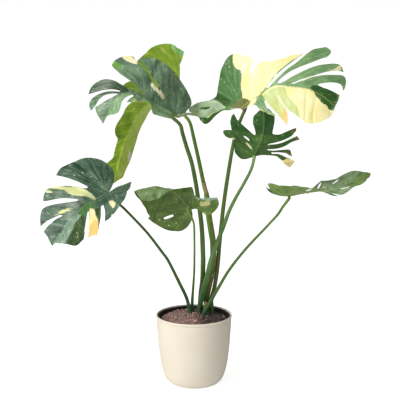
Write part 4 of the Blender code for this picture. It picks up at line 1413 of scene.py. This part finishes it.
LEAF_RIGHT = LeafDrawing(
    node="leaf_right", slot="leaf_olive",
    spine=[(266, -10, 553), (315, 0, 562), (366, 10, 567), (433, 20, 583), (510, 30, 613)],
    faces=[(-0.2, 0.35, 0.9), (-0.05, -0.06, 0.99), (-0.25, 0.5, 0.83)],
    fold=((26, -5, 12, 60), (8, 5, -6, -36)), curl=((-4, -4), (-4, -4)), back_bend=78,
    outline=[
        [(-12, 8), (-30, 15), (-52, 24), (-70, 40), (-76, 62), (-64, 84), (-36, 100), (4, 106),
         (40, 105), (76, 100), (106, 99), (134, 95), (160, 90), (186, 79), (206, 66), (222, 52)],
        [(236, 28), (254, 0)],
        [(240, -26), (222, -50)],
        [(206, -62), (190, -72), (172, -82), (154, -88), (138, -90)],
        [(123, -72), (108, -52), (99, -41), (94, -43), (98, -53), (109, -72), (124, -94)],
        [(100, -97), (70, -95), (34, -93), (0, -91), (-32, -87), (-58, -77), (-72, -60), (-73, -42),
         (-56, -26), (-32, -16), (-12, -8), (0, 0)]],
    vein_tips=[(-70, 60), (-50, 90), (-10, 102), (30, 104), (58, 96), (96, 94), (120, 96),
               (150, 86), (174, 84), (198, 60), (220, 50), (240, 20), (-72, -60), (-50, -90),
               (-10, -102), (30, -108), (54, -98), (90, -98), (114, -96), (150, -86), (168, -82),
               (200, -58), (220, -50), (240, -24)],
    marks={
        Mark.OLIVE: [[(172, -17), (215, 17), (241, 24), (264, 2), (240, -44), (197, -66)]],
        Mark.CREAM: [[(114, 44), (118, 44), (120, 22), (119, 2), (116, 2), (116, 22)]]},
    holes=[[(42, 42), (50, 58), (59, 76), (66, 82), (63, 70), (56, 54), (48, 42)],
           [(94, 43), (104, 58), (116, 74), (124, 80), (121, 70), (110, 54), (100, 43)],
           [(144, 40), (155, 52), (168, 64), (174, 66), (168, 56), (158, 45), (149, 38)],
           [(44, -46), (48, -58), (56, -72), (62, -76), (60, -64), (54, -52), (48, -44)],
           [(146, -38), (156, -50), (167, -61), (173, -63), (167, -53), (158, -43), (150, -36)]])


@dataclass
class SoilBed:
    """The soil: a lumpy bed with a low mound, loose crumbs and clods, and a few bark chips.

    The foot is the bed's outline of (radius, height) along the nursery pot's wall, and each row
    of ripples has a length and a height in mm and a seed. The soil is paler and browner on the
    left and darker on the right and towards the rim.
    """

    radius: float = 97.6
    base: float = 190.0
    foot: Sequence[Flat] = ((97.9, 181.0), (89.6, 100.0), (59.2, 10.6))
    fill: float = 5.0
    mound: float = 8.0
    mound_centre: Flat = (-45.0, 15.0)
    mound_spread: float = 2600.0
    ripples: Sequence[Tuple[float, float, int]] = ((9.0, 1.7, 3), (3.6, 0.8, 4))
    brown_line: float = 8.0
    brown_fade: float = 42.0
    tone_limits: Flat = (0.04, 0.62)
    patch_length: float = 11.0
    rim_start: float = 76.0
    rim_width: float = 18.0
    rim_darkening: float = 0.55
    steps: int = 180
    ring_count: int = 52
    bed_tone: float = 0.55
    crumb_count: int = 2600
    clod_every: int = 22
    clod_growth: float = 2.7
    chip_count: int = 12
    seed: int = 11

    def height(self, x: np.ndarray, y: np.ndarray) -> np.ndarray:
        """Height of the bed at flat places in mm."""
        fade = np.clip(1 - (np.hypot(x, y) / 98.0) ** 4, 0, 1)
        left, back = self.mound_centre
        mound = self.mound * np.exp(-((x - left) ** 2 + (y - back) ** 2) / self.mound_spread)
        lumps = 2.0 * np.sin(x / 7.0 + 1.0) * np.cos(y / 6.0) + 1.3 * np.sin((x - y) / 4.3)
        fine = sum(high * ripple(x / length, y / length, seed)
                   for length, high, seed in self.ripples)
        return self.base + (self.fill + mound + lumps) * fade + fine * np.clip(fade * 3, 0, 1)

    def tone(self, x: np.ndarray, y: np.ndarray) -> np.ndarray:
        """How pale and brown the soil is: paler on the left, darker on the right and towards the
        rim.
        """
        dry = np.clip(0.5 - (x - self.brown_line) / self.brown_fade, *self.tone_limits)
        patches = 0.85 + 0.45 * ripple(x / self.patch_length, y / self.patch_length, 6)
        edge = 1 - self.rim_darkening * np.clip((np.hypot(x, y) - self.rim_start) / self.rim_width,
                                           0, 1)
        return np.clip(dry * patches * edge * 1.12, 0.02, 0.8)

    def build(self) -> None:
        """Builds the bed, the crumbs and the chips."""
        for name, mesh, finish, node in (
                ("soil_bed", self.bed(), SoilFinish("damp_peat_bed"), "soil"),
                ("soil_crumbs", self.crumbs(), SoilFinish("peat_and_coir_crumbs"), None),
                ("soil_bark_chips", self.chips(),
                 SoilFinish("bark_chips", "#4a3830", "#7d5a48", "#a8826a"), None)):
            place_piece(name, mesh, node, finish)

    def bed(self) -> bpy.types.Mesh:
        """The bed, closed under it along the nursery pot's wall."""
        rows = [level_ring(self.steps, radius, 0.0)
                for radius in np.linspace(2.0, self.radius, self.ring_count)]
        for row in rows:
            row[:, 2] = self.height(row[:, 0], row[:, 1])
        rows += [level_ring(self.steps, radius, height) for radius, height in self.foot]
        middle = self.height(np.zeros(1), np.zeros(1))[0]
        places = np.vstack([[(0.0, 0.0, middle)], *rows, [(0.0, 0.0, self.foot[-1][1])]])
        mesh = turned_mesh("soil_bed", places, self.steps)
        write_field(mesh, "tone", self.tone(places[:, 0], places[:, 1]) * self.bed_tone)
        mesh.shade_smooth()
        return mesh

    def scatter(self, count: int, draw: np.random.Generator) -> np.ndarray:
        """Random flat places on the bed."""
        radius = (self.radius - 3.5) * np.sqrt(draw.uniform(0, 1, count))
        angle = draw.uniform(0, 2 * math.pi, count)
        return np.stack([radius * np.cos(angle), radius * np.sin(angle)], 1)

    def heap(self, name: str, centres: np.ndarray, sizes: np.ndarray, tones: np.ndarray,
             draw: np.random.Generator) -> bpy.types.Mesh:
        """One mesh of many small irregular lumps, each a shaken twenty-sided solid.

        Args:
            name: The mesh's name.
            centres: Lump centres in mm.
            sizes: Half sizes of each lump in mm, one row a lump.
            tones: One tone a lump.
            draw: The random source.

        Returns:
            The mesh.
        """
        golden = (1 + math.sqrt(5)) / 2
        corners = unit([np.roll((short, long, 0), shift) for shift in range(3)
                        for long in (golden, -golden) for short in (-1, 1)])
        sides = np.array([(0, 11, 5), (0, 5, 1), (0, 1, 7), (0, 7, 10), (0, 10, 11), (1, 5, 9),
                          (5, 11, 4), (11, 10, 2), (10, 7, 6), (7, 1, 8), (3, 9, 4), (3, 4, 2),
                          (3, 2, 6), (3, 6, 8), (3, 8, 9), (4, 9, 5), (2, 4, 11), (6, 2, 10),
                          (8, 6, 7), (9, 8, 1)])
        points, faces = [], []
        for i, (centre, size) in enumerate(zip(centres, sizes)):
            shape = corners * draw.uniform(0.7, 1.25, (len(corners), 1)) * size
            a, b, c = draw.uniform(0, 2 * math.pi, 3) * (1.0, 0.16, 0.16)
            turn = np.array([(math.cos(a), -math.sin(a), 0), (math.sin(a), math.cos(a), 0),
                             (0, 0, 1)])
            tip = np.array([(1, 0, 0), (0, math.cos(b), -math.sin(b)),
                            (0, math.sin(b), math.cos(b))])
            roll = np.array([(math.cos(c), 0, math.sin(c)), (0, 1, 0),
                             (-math.sin(c), 0, math.cos(c))])
            points.append(shape @ (turn @ tip @ roll).T + centre)
            faces.append(sides + len(corners) * i)
        mesh = new_mesh(name, np.vstack(points), np.vstack(faces).tolist())
        write_field(mesh, "tone", np.repeat(tones, len(corners)))
        return mesh

    def crumbs(self) -> bpy.types.Mesh:
        """Peat crumbs and coir bits of 1 to 4 mm, with a clod of 6 to 10 mm here and there."""
        draw, count = np.random.default_rng(self.seed), self.crumb_count
        flat = self.scatter(count, draw)
        sizes = draw.gamma(2.2, 0.5, (count, 1)).clip(0.5, 2.7)
        sizes = sizes * draw.uniform(0.6, 1.3, (count, 3)) * (1.0, 1.0, 0.75)
        sizes[::self.clod_every] *= self.clod_growth
        height = self.height(*flat.T) + sizes[:, 2] * 0.35
        tones = self.tone(*flat.T) + draw.normal(0, 0.13, count)
        tones = np.where(draw.uniform(0, 1, count) < 0.05, tones + 0.35, tones)
        return self.heap("soil_crumbs", np.column_stack([flat, height]), sizes,
                         tones.clip(0, 1), draw)

    def chips(self) -> bpy.types.Mesh:
        """Flat bark chips of 5 to 12 mm, the first of them where they show in front."""
        draw = np.random.default_rng(self.seed + 1)
        flat = self.scatter(self.chip_count, draw) * 0.9
        seen = np.array([(-20.0, -62.0), (-12.0, -70.0), (4.0, -58.0), (-34.0, -40.0)])
        flat[:len(seen)] = seen
        sizes = draw.uniform(2.2, 5.0, (self.chip_count, 3)) * (1.2, 0.8, 0.32)
        height = self.height(*flat.T) + sizes[:, 2] * 0.6 + 0.6
        return self.heap("soil_bark_chips", np.column_stack([flat, height]), sizes,
                         draw.uniform(0.1, 0.9, self.chip_count), draw)


@dataclass
class Crown:
    """The short thick stem among the stalk bases, with old leaf scars round it.

    The profile holds pairs of a height and the radius there, in mm.
    """

    centre: Flat = (35.0, 33.0)
    profile: Sequence[Flat] = ((150, 8.0), (208, 8.0), (220, 7.52), (227, 5.6), (232, 2.4))
    scar_depth: float = 0.035
    scar_pitch: float = 1.7
    rings: int = 60
    sides: int = 28

    def build(self) -> bpy.types.Object:
        """Builds the crown and places it as a piece."""
        levels, sizes = zip(*self.profile)
        heights = np.linspace(levels[0], levels[-1], self.rings)
        scars = self.scar_depth * np.sin(heights / self.scar_pitch) ** 8
        radii = np.interp(heights, levels, sizes) * (1 + scars - 0.02)
        path = np.column_stack([np.tile(self.centre, (self.rings, 1)), heights])
        mesh = sweep("crown_stem", path, radii, self.sides)
        finish = StalkFinish("corky_crown", "#5a5438", "#86863e", "#a39c50", "#5a4326", 0.6)
        return place_piece("crown_stem", mesh, "crown", finish)


@dataclass
class Studio:
    """White table, pale world, a large soft key light from the upper left, and the camera."""

    camera_place: Place = (0.0175, -3.0, 1.0586)
    pitch: float = 80.2
    lens: float = 96.03
    sensor_width: float = 36.0
    key_place: Place = (-2.1, -1.9, 2.6)
    key_aim: Place = (0.0, 0.0, 0.45)
    key_size: float = 1.7
    key_power: float = 88.0
    near_fill: float = 0.6
    far_fill: float = 0.06
    table_reach: float = 40.0
    table_glow: float = 0.76

    def build(self) -> None:
        """Builds the whole studio."""
        self.table()
        self.world()
        self.key_light()
        self.camera()

    def table(self) -> None:
        """A large white matt table that glows to the camera only."""
        far = self.table_reach
        mesh = bpy.data.meshes.new("table")
        mesh.from_pydata([(-far, -far, 0), (far, -far, 0), (far, far, 0), (-far, far, 0)], [],
                         [(0, 1, 2, 3)])
        material = new_material("white_table_paint", 0.9, WAX_IOR)
        tree = material.node_tree
        seen = add_node(tree, "ShaderNodeLightPath").outputs["Is Camera Ray"]
        feed_shader(material, {
            "Base Color": linear("#f7f7f7"), "Emission Color": linear("#ffffff"),
            "Emission Strength": add_range(tree, seen, 0.0, 1.0, 0.0, self.table_glow)})
        mesh.materials.append(material)
        floor = add_object("white_table", mesh)

    def world(self) -> None:
        """White surroundings that light the plant only softly, more from the near left."""
        world = bpy.data.worlds.new("white_surroundings")
        world.use_nodes = True
        tree = world.node_tree
        tree.nodes.clear()
        seen = add_node(tree, "ShaderNodeLightPath").outputs["Is Camera Ray"]
        way = add_node(tree, "ShaderNodeTexCoord").outputs["Generated"]
        parts = add_node(tree, "ShaderNodeSeparateXYZ", {0: way}).outputs
        fill = add_range(tree, add_math(tree, "ADD", parts[0], parts[1]), -1.4, 1.4,
                         self.near_fill, self.far_fill)
        strength = add_node(tree, "ShaderNodeMix", {"data_type": "FLOAT", 0: seen, 2: fill, 3: 1.0})
        back = add_node(tree, "ShaderNodeBackground",
                        {"Color": linear("#ffffff"), "Strength": strength.outputs[0]})
        add_node(tree, "ShaderNodeOutputWorld", {"Surface": back.outputs[0]})
        bpy.context.scene.world = world

    def key_light(self) -> None:
        """The soft key light."""
        light = bpy.data.lights.new("soft_key", "AREA")
        light.shape = "DISK"
        light.size = self.key_size
        light.energy = self.key_power
        light.color = linear("#fffaf2")[:3]
        lamp = add_object("soft_key", light)
        lamp.location = self.key_place
        aim = Vector(self.key_aim) - lamp.location
        lamp.rotation_euler = aim.to_track_quat("-Z", "Y").to_euler()

    def camera(self) -> None:
        """The camera, a little above the plant's middle."""
        data = bpy.data.cameras.new("camera")
        data.lens = self.lens
        data.sensor_width = self.sensor_width
        data.clip_end = 100.0
        viewer = add_object("camera", data)
        viewer.location = self.camera_place
        viewer.rotation_euler = (math.radians(self.pitch), 0.0, 0.0)
        bpy.context.scene.camera = viewer
        bpy.context.scene.view_settings.view_transform = "Standard"


@dataclass
class CoverPot:
    """The round cream cover pot: thin rolled rim, a fine groove under it, a small foot."""

    diameter: float = 220.0
    height: float = 204.0
    wall: float = 4.0
    lip: float = 9.0

    def build(self) -> bpy.types.Object:
        """Builds the pot and places it as a piece."""
        outer = [(58, 0), (62.5, 0.5), (66, 1.4), (70, 3.1), (74, 5.4), (78.7, 9.6), (83, 15),
                 (86.9, 22.3), (90, 31), (93.4, 42.6), (96, 55), (98.2, 68.4), (100, 82),
                 (101.6, 95), (103, 108), (104.4, 123), (105.5, 138), (106.6, 153),
                 (107.5, 168), (108.1, 180), (108.4, 190), (108.5, self.height - self.lip - 1.2)]
        rim, top = self.diameter / 2, self.height
        radii, heights = zip(*outer)
        inner = [(float(np.interp(h, heights, radii)) - self.wall, h)
                 for h in (18, 31, 43, 55, 68, 82, 95, 108, 123, 138, 153, 168, 180, 190)]
        lip = [(rim - 5.0, top - 5), (rim - 4.6, top - 2.2), (rim - 4.1, top - 0.9),
               (rim - 3.2, top - 0.15), (rim - 2.2, top), (rim - 1.2, top - 0.25),
               (rim - 0.45, top - 1.0), (rim, top - 2.6), (rim - 0.1, top - 5.0),
               (109.5, top - self.lip + 1.6), (108.9, top - self.lip + 0.6),
               (107.9, top - self.lip), (107.9, top - self.lip - 0.5)]
        profile = [(0, 7), (60, 7), (68, 8.5), (74, 11)] + inner + lip + outer[::-1] + [(0, 0)]
        return Turned("cover_pot_shell", "cover_pot", "cover_pot", profile, CreamGlaze(),
                      192).build()


@dataclass
class NurseryPot:
    """The dark moulded nursery pot with its rolled rim."""

    top: float = 201.0
    floor: float = 7.3
    wall: float = 1.6

    def build(self) -> bpy.types.Object:
        """Builds the pot and places it as a piece."""
        top, wall, low = self.top, self.wall, self.floor
        profile = [(0, low + 3), (62 - wall, low + 3), (92 - wall, 100), (101.2 - wall, top - 11),
                   (101.8 - wall, top - 6), (102.5 - wall, top - 1.6), (102.9 - wall, top - 0.5),
                   (103.5 - wall, top), (103.9, top), (104.4, top - 0.5), (104.6, top - 1.4),
                   (104.3, top - 7), (103.6, top - 12.4), (103.2, top - 13.4),
                   (101.5, top - 14), (92, 100), (62, low), (0, low)]
        return Turned("nursery_pot_shell", "nursery_pot", "nursery_pot", profile,
                      DarkPlastic()).build()


def leaves() -> List[Leaf]:
    """The seven leaves with the finishes of their two faces."""
    # In each finish, the colour given for the sheen mark is a painted sheen.
    return [
        Leaf(LEAF_LOWER_LEFT,
             LeafFinish("leaf_skin_grey_green_low", "#567560", "#294838", "#8fac84",
                        streak="#86a392", fleck_share=0.55, lime="#dbe3a8", cream="#f9f0bd",
                        gold="#f0d287", fresh="#4f8142", painted_sheen="#8aa795", deep="#36521f",
                        vein_strength=0.26),
             LeafFinish("leaf_back_grey_green_low", "#7d9468", "#6c8458", "#a3b487",
                        fleck_share=0.3, roughness=0.55), wave=2.2, seed=1),
        Leaf(LEAF_UPPER_LEFT,
             LeafFinish("leaf_skin_grey_green_high", "#77997a", "#4c6d52", "#93a77f",
                        streak="#8aa98a", fleck_share=0.5, lime="#c6dc92", cream="#fffde0",
                        painted_sheen="#98bd90", fresh="#70ac3a", deep="#37593d",
                        vein_strength=0.16),
             LeafFinish("leaf_back_grey_green_high", "#9db487", "#84a06e", "#b5c59c",
                        fleck_share=0.3, roughness=0.55), wave=1.8, seed=2),
        Leaf(LEAF_BACK,
             LeafFinish("leaf_skin_yellow_green", "#8bb022", "#5f8412", "#a6bb57",
                        streak="#a9c95a", streak_share=0.6, fleck_share=0.3, painted_sheen="#93cd76",
                        fresh="#a4cc30", cream="#f1ecc0", vein_strength=0.12, contrast=0.18),
             LeafFinish("leaf_back_yellow_green", "#92b726", "#6a8d14", "#a9bf58",
                        streak="#b3c95c", streak_share=0.5, fleck_share=0.1, roughness=0.5,
                        painted_sheen="#93cd76", fresh="#a9d032", cream="#ffffe6",
                        vein_strength=0.12, contrast=0.18), wave=2.0, seed=3),
        Leaf(LEAF_MIDDLE,
             LeafFinish("leaf_skin_silver_olive", "#84a06c", "#5f7f4c", "#a2b586",
                        fleck_share=0.55, painted_sheen="#98b098", cream="#f2ecc4"),
             LeafFinish("leaf_back_olive", "#648431", "#41601f", "#a9ba78",
                        streak="#8aa65a", fleck_share=0.3, roughness=0.45, painted_sheen="#9db59f",
                        cream="#b9b78a", vein_strength=0.16), wave=1.6, seed=4),
        Leaf(LEAF_UPPER_RIGHT,
             LeafFinish("leaf_skin_cream_variegated", "#fffac8", "#fbf0a2", "#eee59a",
                        streak="#f3e07c", streak_share=0.35, fleck_share=0.4, fleck="#f6f2b8",
                        fresh="#5a8d51", painted_sheen="#8cb67f", deep="#386b26", olive="#82864c",
                        lime="#d3e3a2", cream="#fdf7c4", gold="#f0d78c", contrast=0.2,
                        vein_strength=0.06, rib_strength=0.3),
             LeafFinish("leaf_back_cream_variegated", "#f7f2bf", "#efe7a6", "#c9d08f",
                        streak="#f0e192", streak_share=0.4, fresh="#6d8f58", painted_sheen="#8aa476",
                        deep="#4a6d38", olive="#7d7f49", lime="#dfeaaa", cream="#f6f1c0",
                        gold="#ecd28a", roughness=0.55), wave=1.4, seed=5),
        Leaf(LEAF_SMALL,
             LeafFinish("leaf_skin_deep_green", "#3d702f", "#2c5a22", "#7d9a57",
                        streak="#5c8548", fleck_share=0.1, deep="#275b1d", brown="#8a7a48",
                        lime="#fff2b0", cream="#f0ebc0", rib_strength=0.3, vein_strength=0.08),
             LeafFinish("leaf_back_deep_green", "#48742e", "#2c531d", "#8da55c",
                        streak="#6f9052", streak_share=0.2, fleck_share=0.2, deep="#29601d",
                        brown="#8a7a48", lime="#fff2b0", cream="#f0ebc0", rib_strength=0.45,
                        vein_strength=0.12), seed=6),
        Leaf(LEAF_RIGHT,
             LeafFinish("leaf_skin_silver_green", "#a3bf90", "#6f955c", "#b9cba6",
                        streak="#c3d2b4", streak_share=0.4, fleck_share=0.35, olive="#8fb060",
                        cream="#f0eed4"),
             LeafFinish("leaf_back_soft_olive", "#98b95e", "#6f953e", "#a5b27f",
                        streak="#a9bb8a", streak_share=0.45, fleck_share=0.25, roughness=0.45,
                        olive="#82a552", cream="#e4e4c0", vein_strength=0.1), seed=7),
    ]


def stalks() -> List[Stalk]:
    """The seven stalks."""
    return [
        Stalk("stalk_lower_left", LEAF_LOWER_LEFT,
              [(-11, 24, 150), (-12, 24, 209), (-17, 21, 230), (-24, 16, 254), (-40, 2, 292),
               (-72, -28, 367), (-90, -37, 396), (-129, -42, 450), (-169, -44, 495),
               (-206, -45, 533)],
              [(150, 5.2), (210, 5.2), (284, 4.8), (450, 3.8), (574, 3.6)], WAXY_GREEN),
        Stalk("stalk_upper_left", LEAF_UPPER_LEFT,
              [(17, 66, 150), (19, 62, 229), (21, 51, 260), (25, 31, 298), (26, 6, 337),
               (26, -24, 388), (22, -43, 473), (11, -57, 562), (4, -63, 609), (-6, -71, 659),
               (-20, -76, 703), (-31, -80, 742), (-37, -82, 764)],
              [(150, 7.6), (300, 7.4), (560, 6.2), (740, 5.4), (793, 4.4)], WAXY_BRIGHT),
        Stalk("stalk_back", LEAF_BACK,
              [(38, 61, 150), (37, 60, 237), (43, 52, 271), (50, 40, 312), (55, 29, 353),
               (55, 18, 407), (50, 17, 445), (43, 19, 488), (36, 21, 553), (29, 23, 579),
               (15, 26, 646), (0, 28, 713), (-12, 31, 760)],
              [(150, 8.6), (440, 8.8), (548, 8.0), (562, 6.2), (640, 5.6), (791, 4.4)],
              WAXY_FRESH),
        Stalk("stalk_middle", LEAF_MIDDLE,
              [(-3, 35, 150), (-5, 34, 214), (-5, 28, 238), (-2, 3, 287), (1, -40, 342),
               (2, -89, 402), (2, -110, 449), (0, -131, 500)],
              [(150, 4.6), (215, 4.6), (260, 3.9), (320, 3.2), (450, 2.8), (536, 2.9)],
              WAXY_OLIVE),
        Stalk("stalk_upper_right", LEAF_UPPER_RIGHT,
              [(53, 42, 150), (51, 41, 237), (59, 40, 270), (65, 37, 307), (70, 33, 351),
               (74, 27, 407), (79, 20, 462), (85, 12, 523), (96, 5, 605), (110, -6, 694),
               (123, -14, 750)],
              [(150, 6.2), (400, 6.2), (600, 5.6), (804, 4.6)], WAXY_BROWNISH),
        Stalk("stalk_small", LEAF_SMALL,
              [(14, 43, 150), (18, 41, 220), (22, 34, 246), (30, 18, 280), (39, -3, 318),
               (50, -27, 373), (68, -38, 429), (84, -36, 470), (100, -36, 515), (119, -38, 555),
               (139, -40, 591), (160, -46, 634)],
              [(150, 7.8), (215, 7.8), (300, 8.2), (440, 6.0), (600, 4.4), (669, 4.2)],
              WAXY_DEEP),
        Stalk("stalk_right", LEAF_RIGHT,
              [(29, 11, 150), (34, 11, 212), (42, 10, 228), (54, 8, 251), (69, 5, 278),
               (103, -2, 338), (149, -6, 399), (201, -8, 457), (238, -10, 499), (254, -12, 524)],
              [(150, 6.0), (220, 6.0), (300, 4.6), (457, 3.6), (551, 4.0)],
              WAXY_OLIVE, knee_mm=0.0),
    ]


def sheaths(stalk: Stalk) -> List[DrySheath]:
    """The dry strips on the back stalk: a long torn edge, a scar above it and a flap below."""
    edge = StalkFinish("papery_sheath_edge", "#8a7a48", "#b08a58", "#96905a", "#7a5434", 0.7)
    scar = StalkFinish("papery_sheath_scar", "#8f8a58", "#a89a66", "#b7a878", "#8a6a44", 0.7)
    # The flap's pale top colour is partly the paper's own tan and partly a painted highlight on the
    # torn paper.
    flap = StalkFinish("papery_sheath_flap", "#6d6a40", "#a58a5c", "#dcc89c", "#5e3f26", 0.7)
    return [DrySheath("stalk_back_sheath_edge", stalk, 300.0, 530.0, 128.0, 75.0, edge),
            DrySheath("stalk_back_sheath_flap", stalk, 214.0, 318.0, 96.0, 62.0, flap),
            DrySheath("stalk_back_sheath_scar", stalk, 546.0, 592.0, 60.0, 110.0, scar)]


def main() -> None:
    """Builds every piece in order."""
    logging.basicConfig(level=logging.INFO, format="%(name)s: %(message)s")
    CoverPot().build()
    NurseryPot().build()
    SoilBed().build()
    Crown().build()
    stems = stalks()
    for stem in stems:
        stem.build()
        if stem.node == "stalk_back":
            for sheath in sheaths(stem):
                sheath.build()
    SideRib().build()
    for leaf in leaves():
        leaf.build()
    Studio().build()


if __name__ == "__main__":
    main()
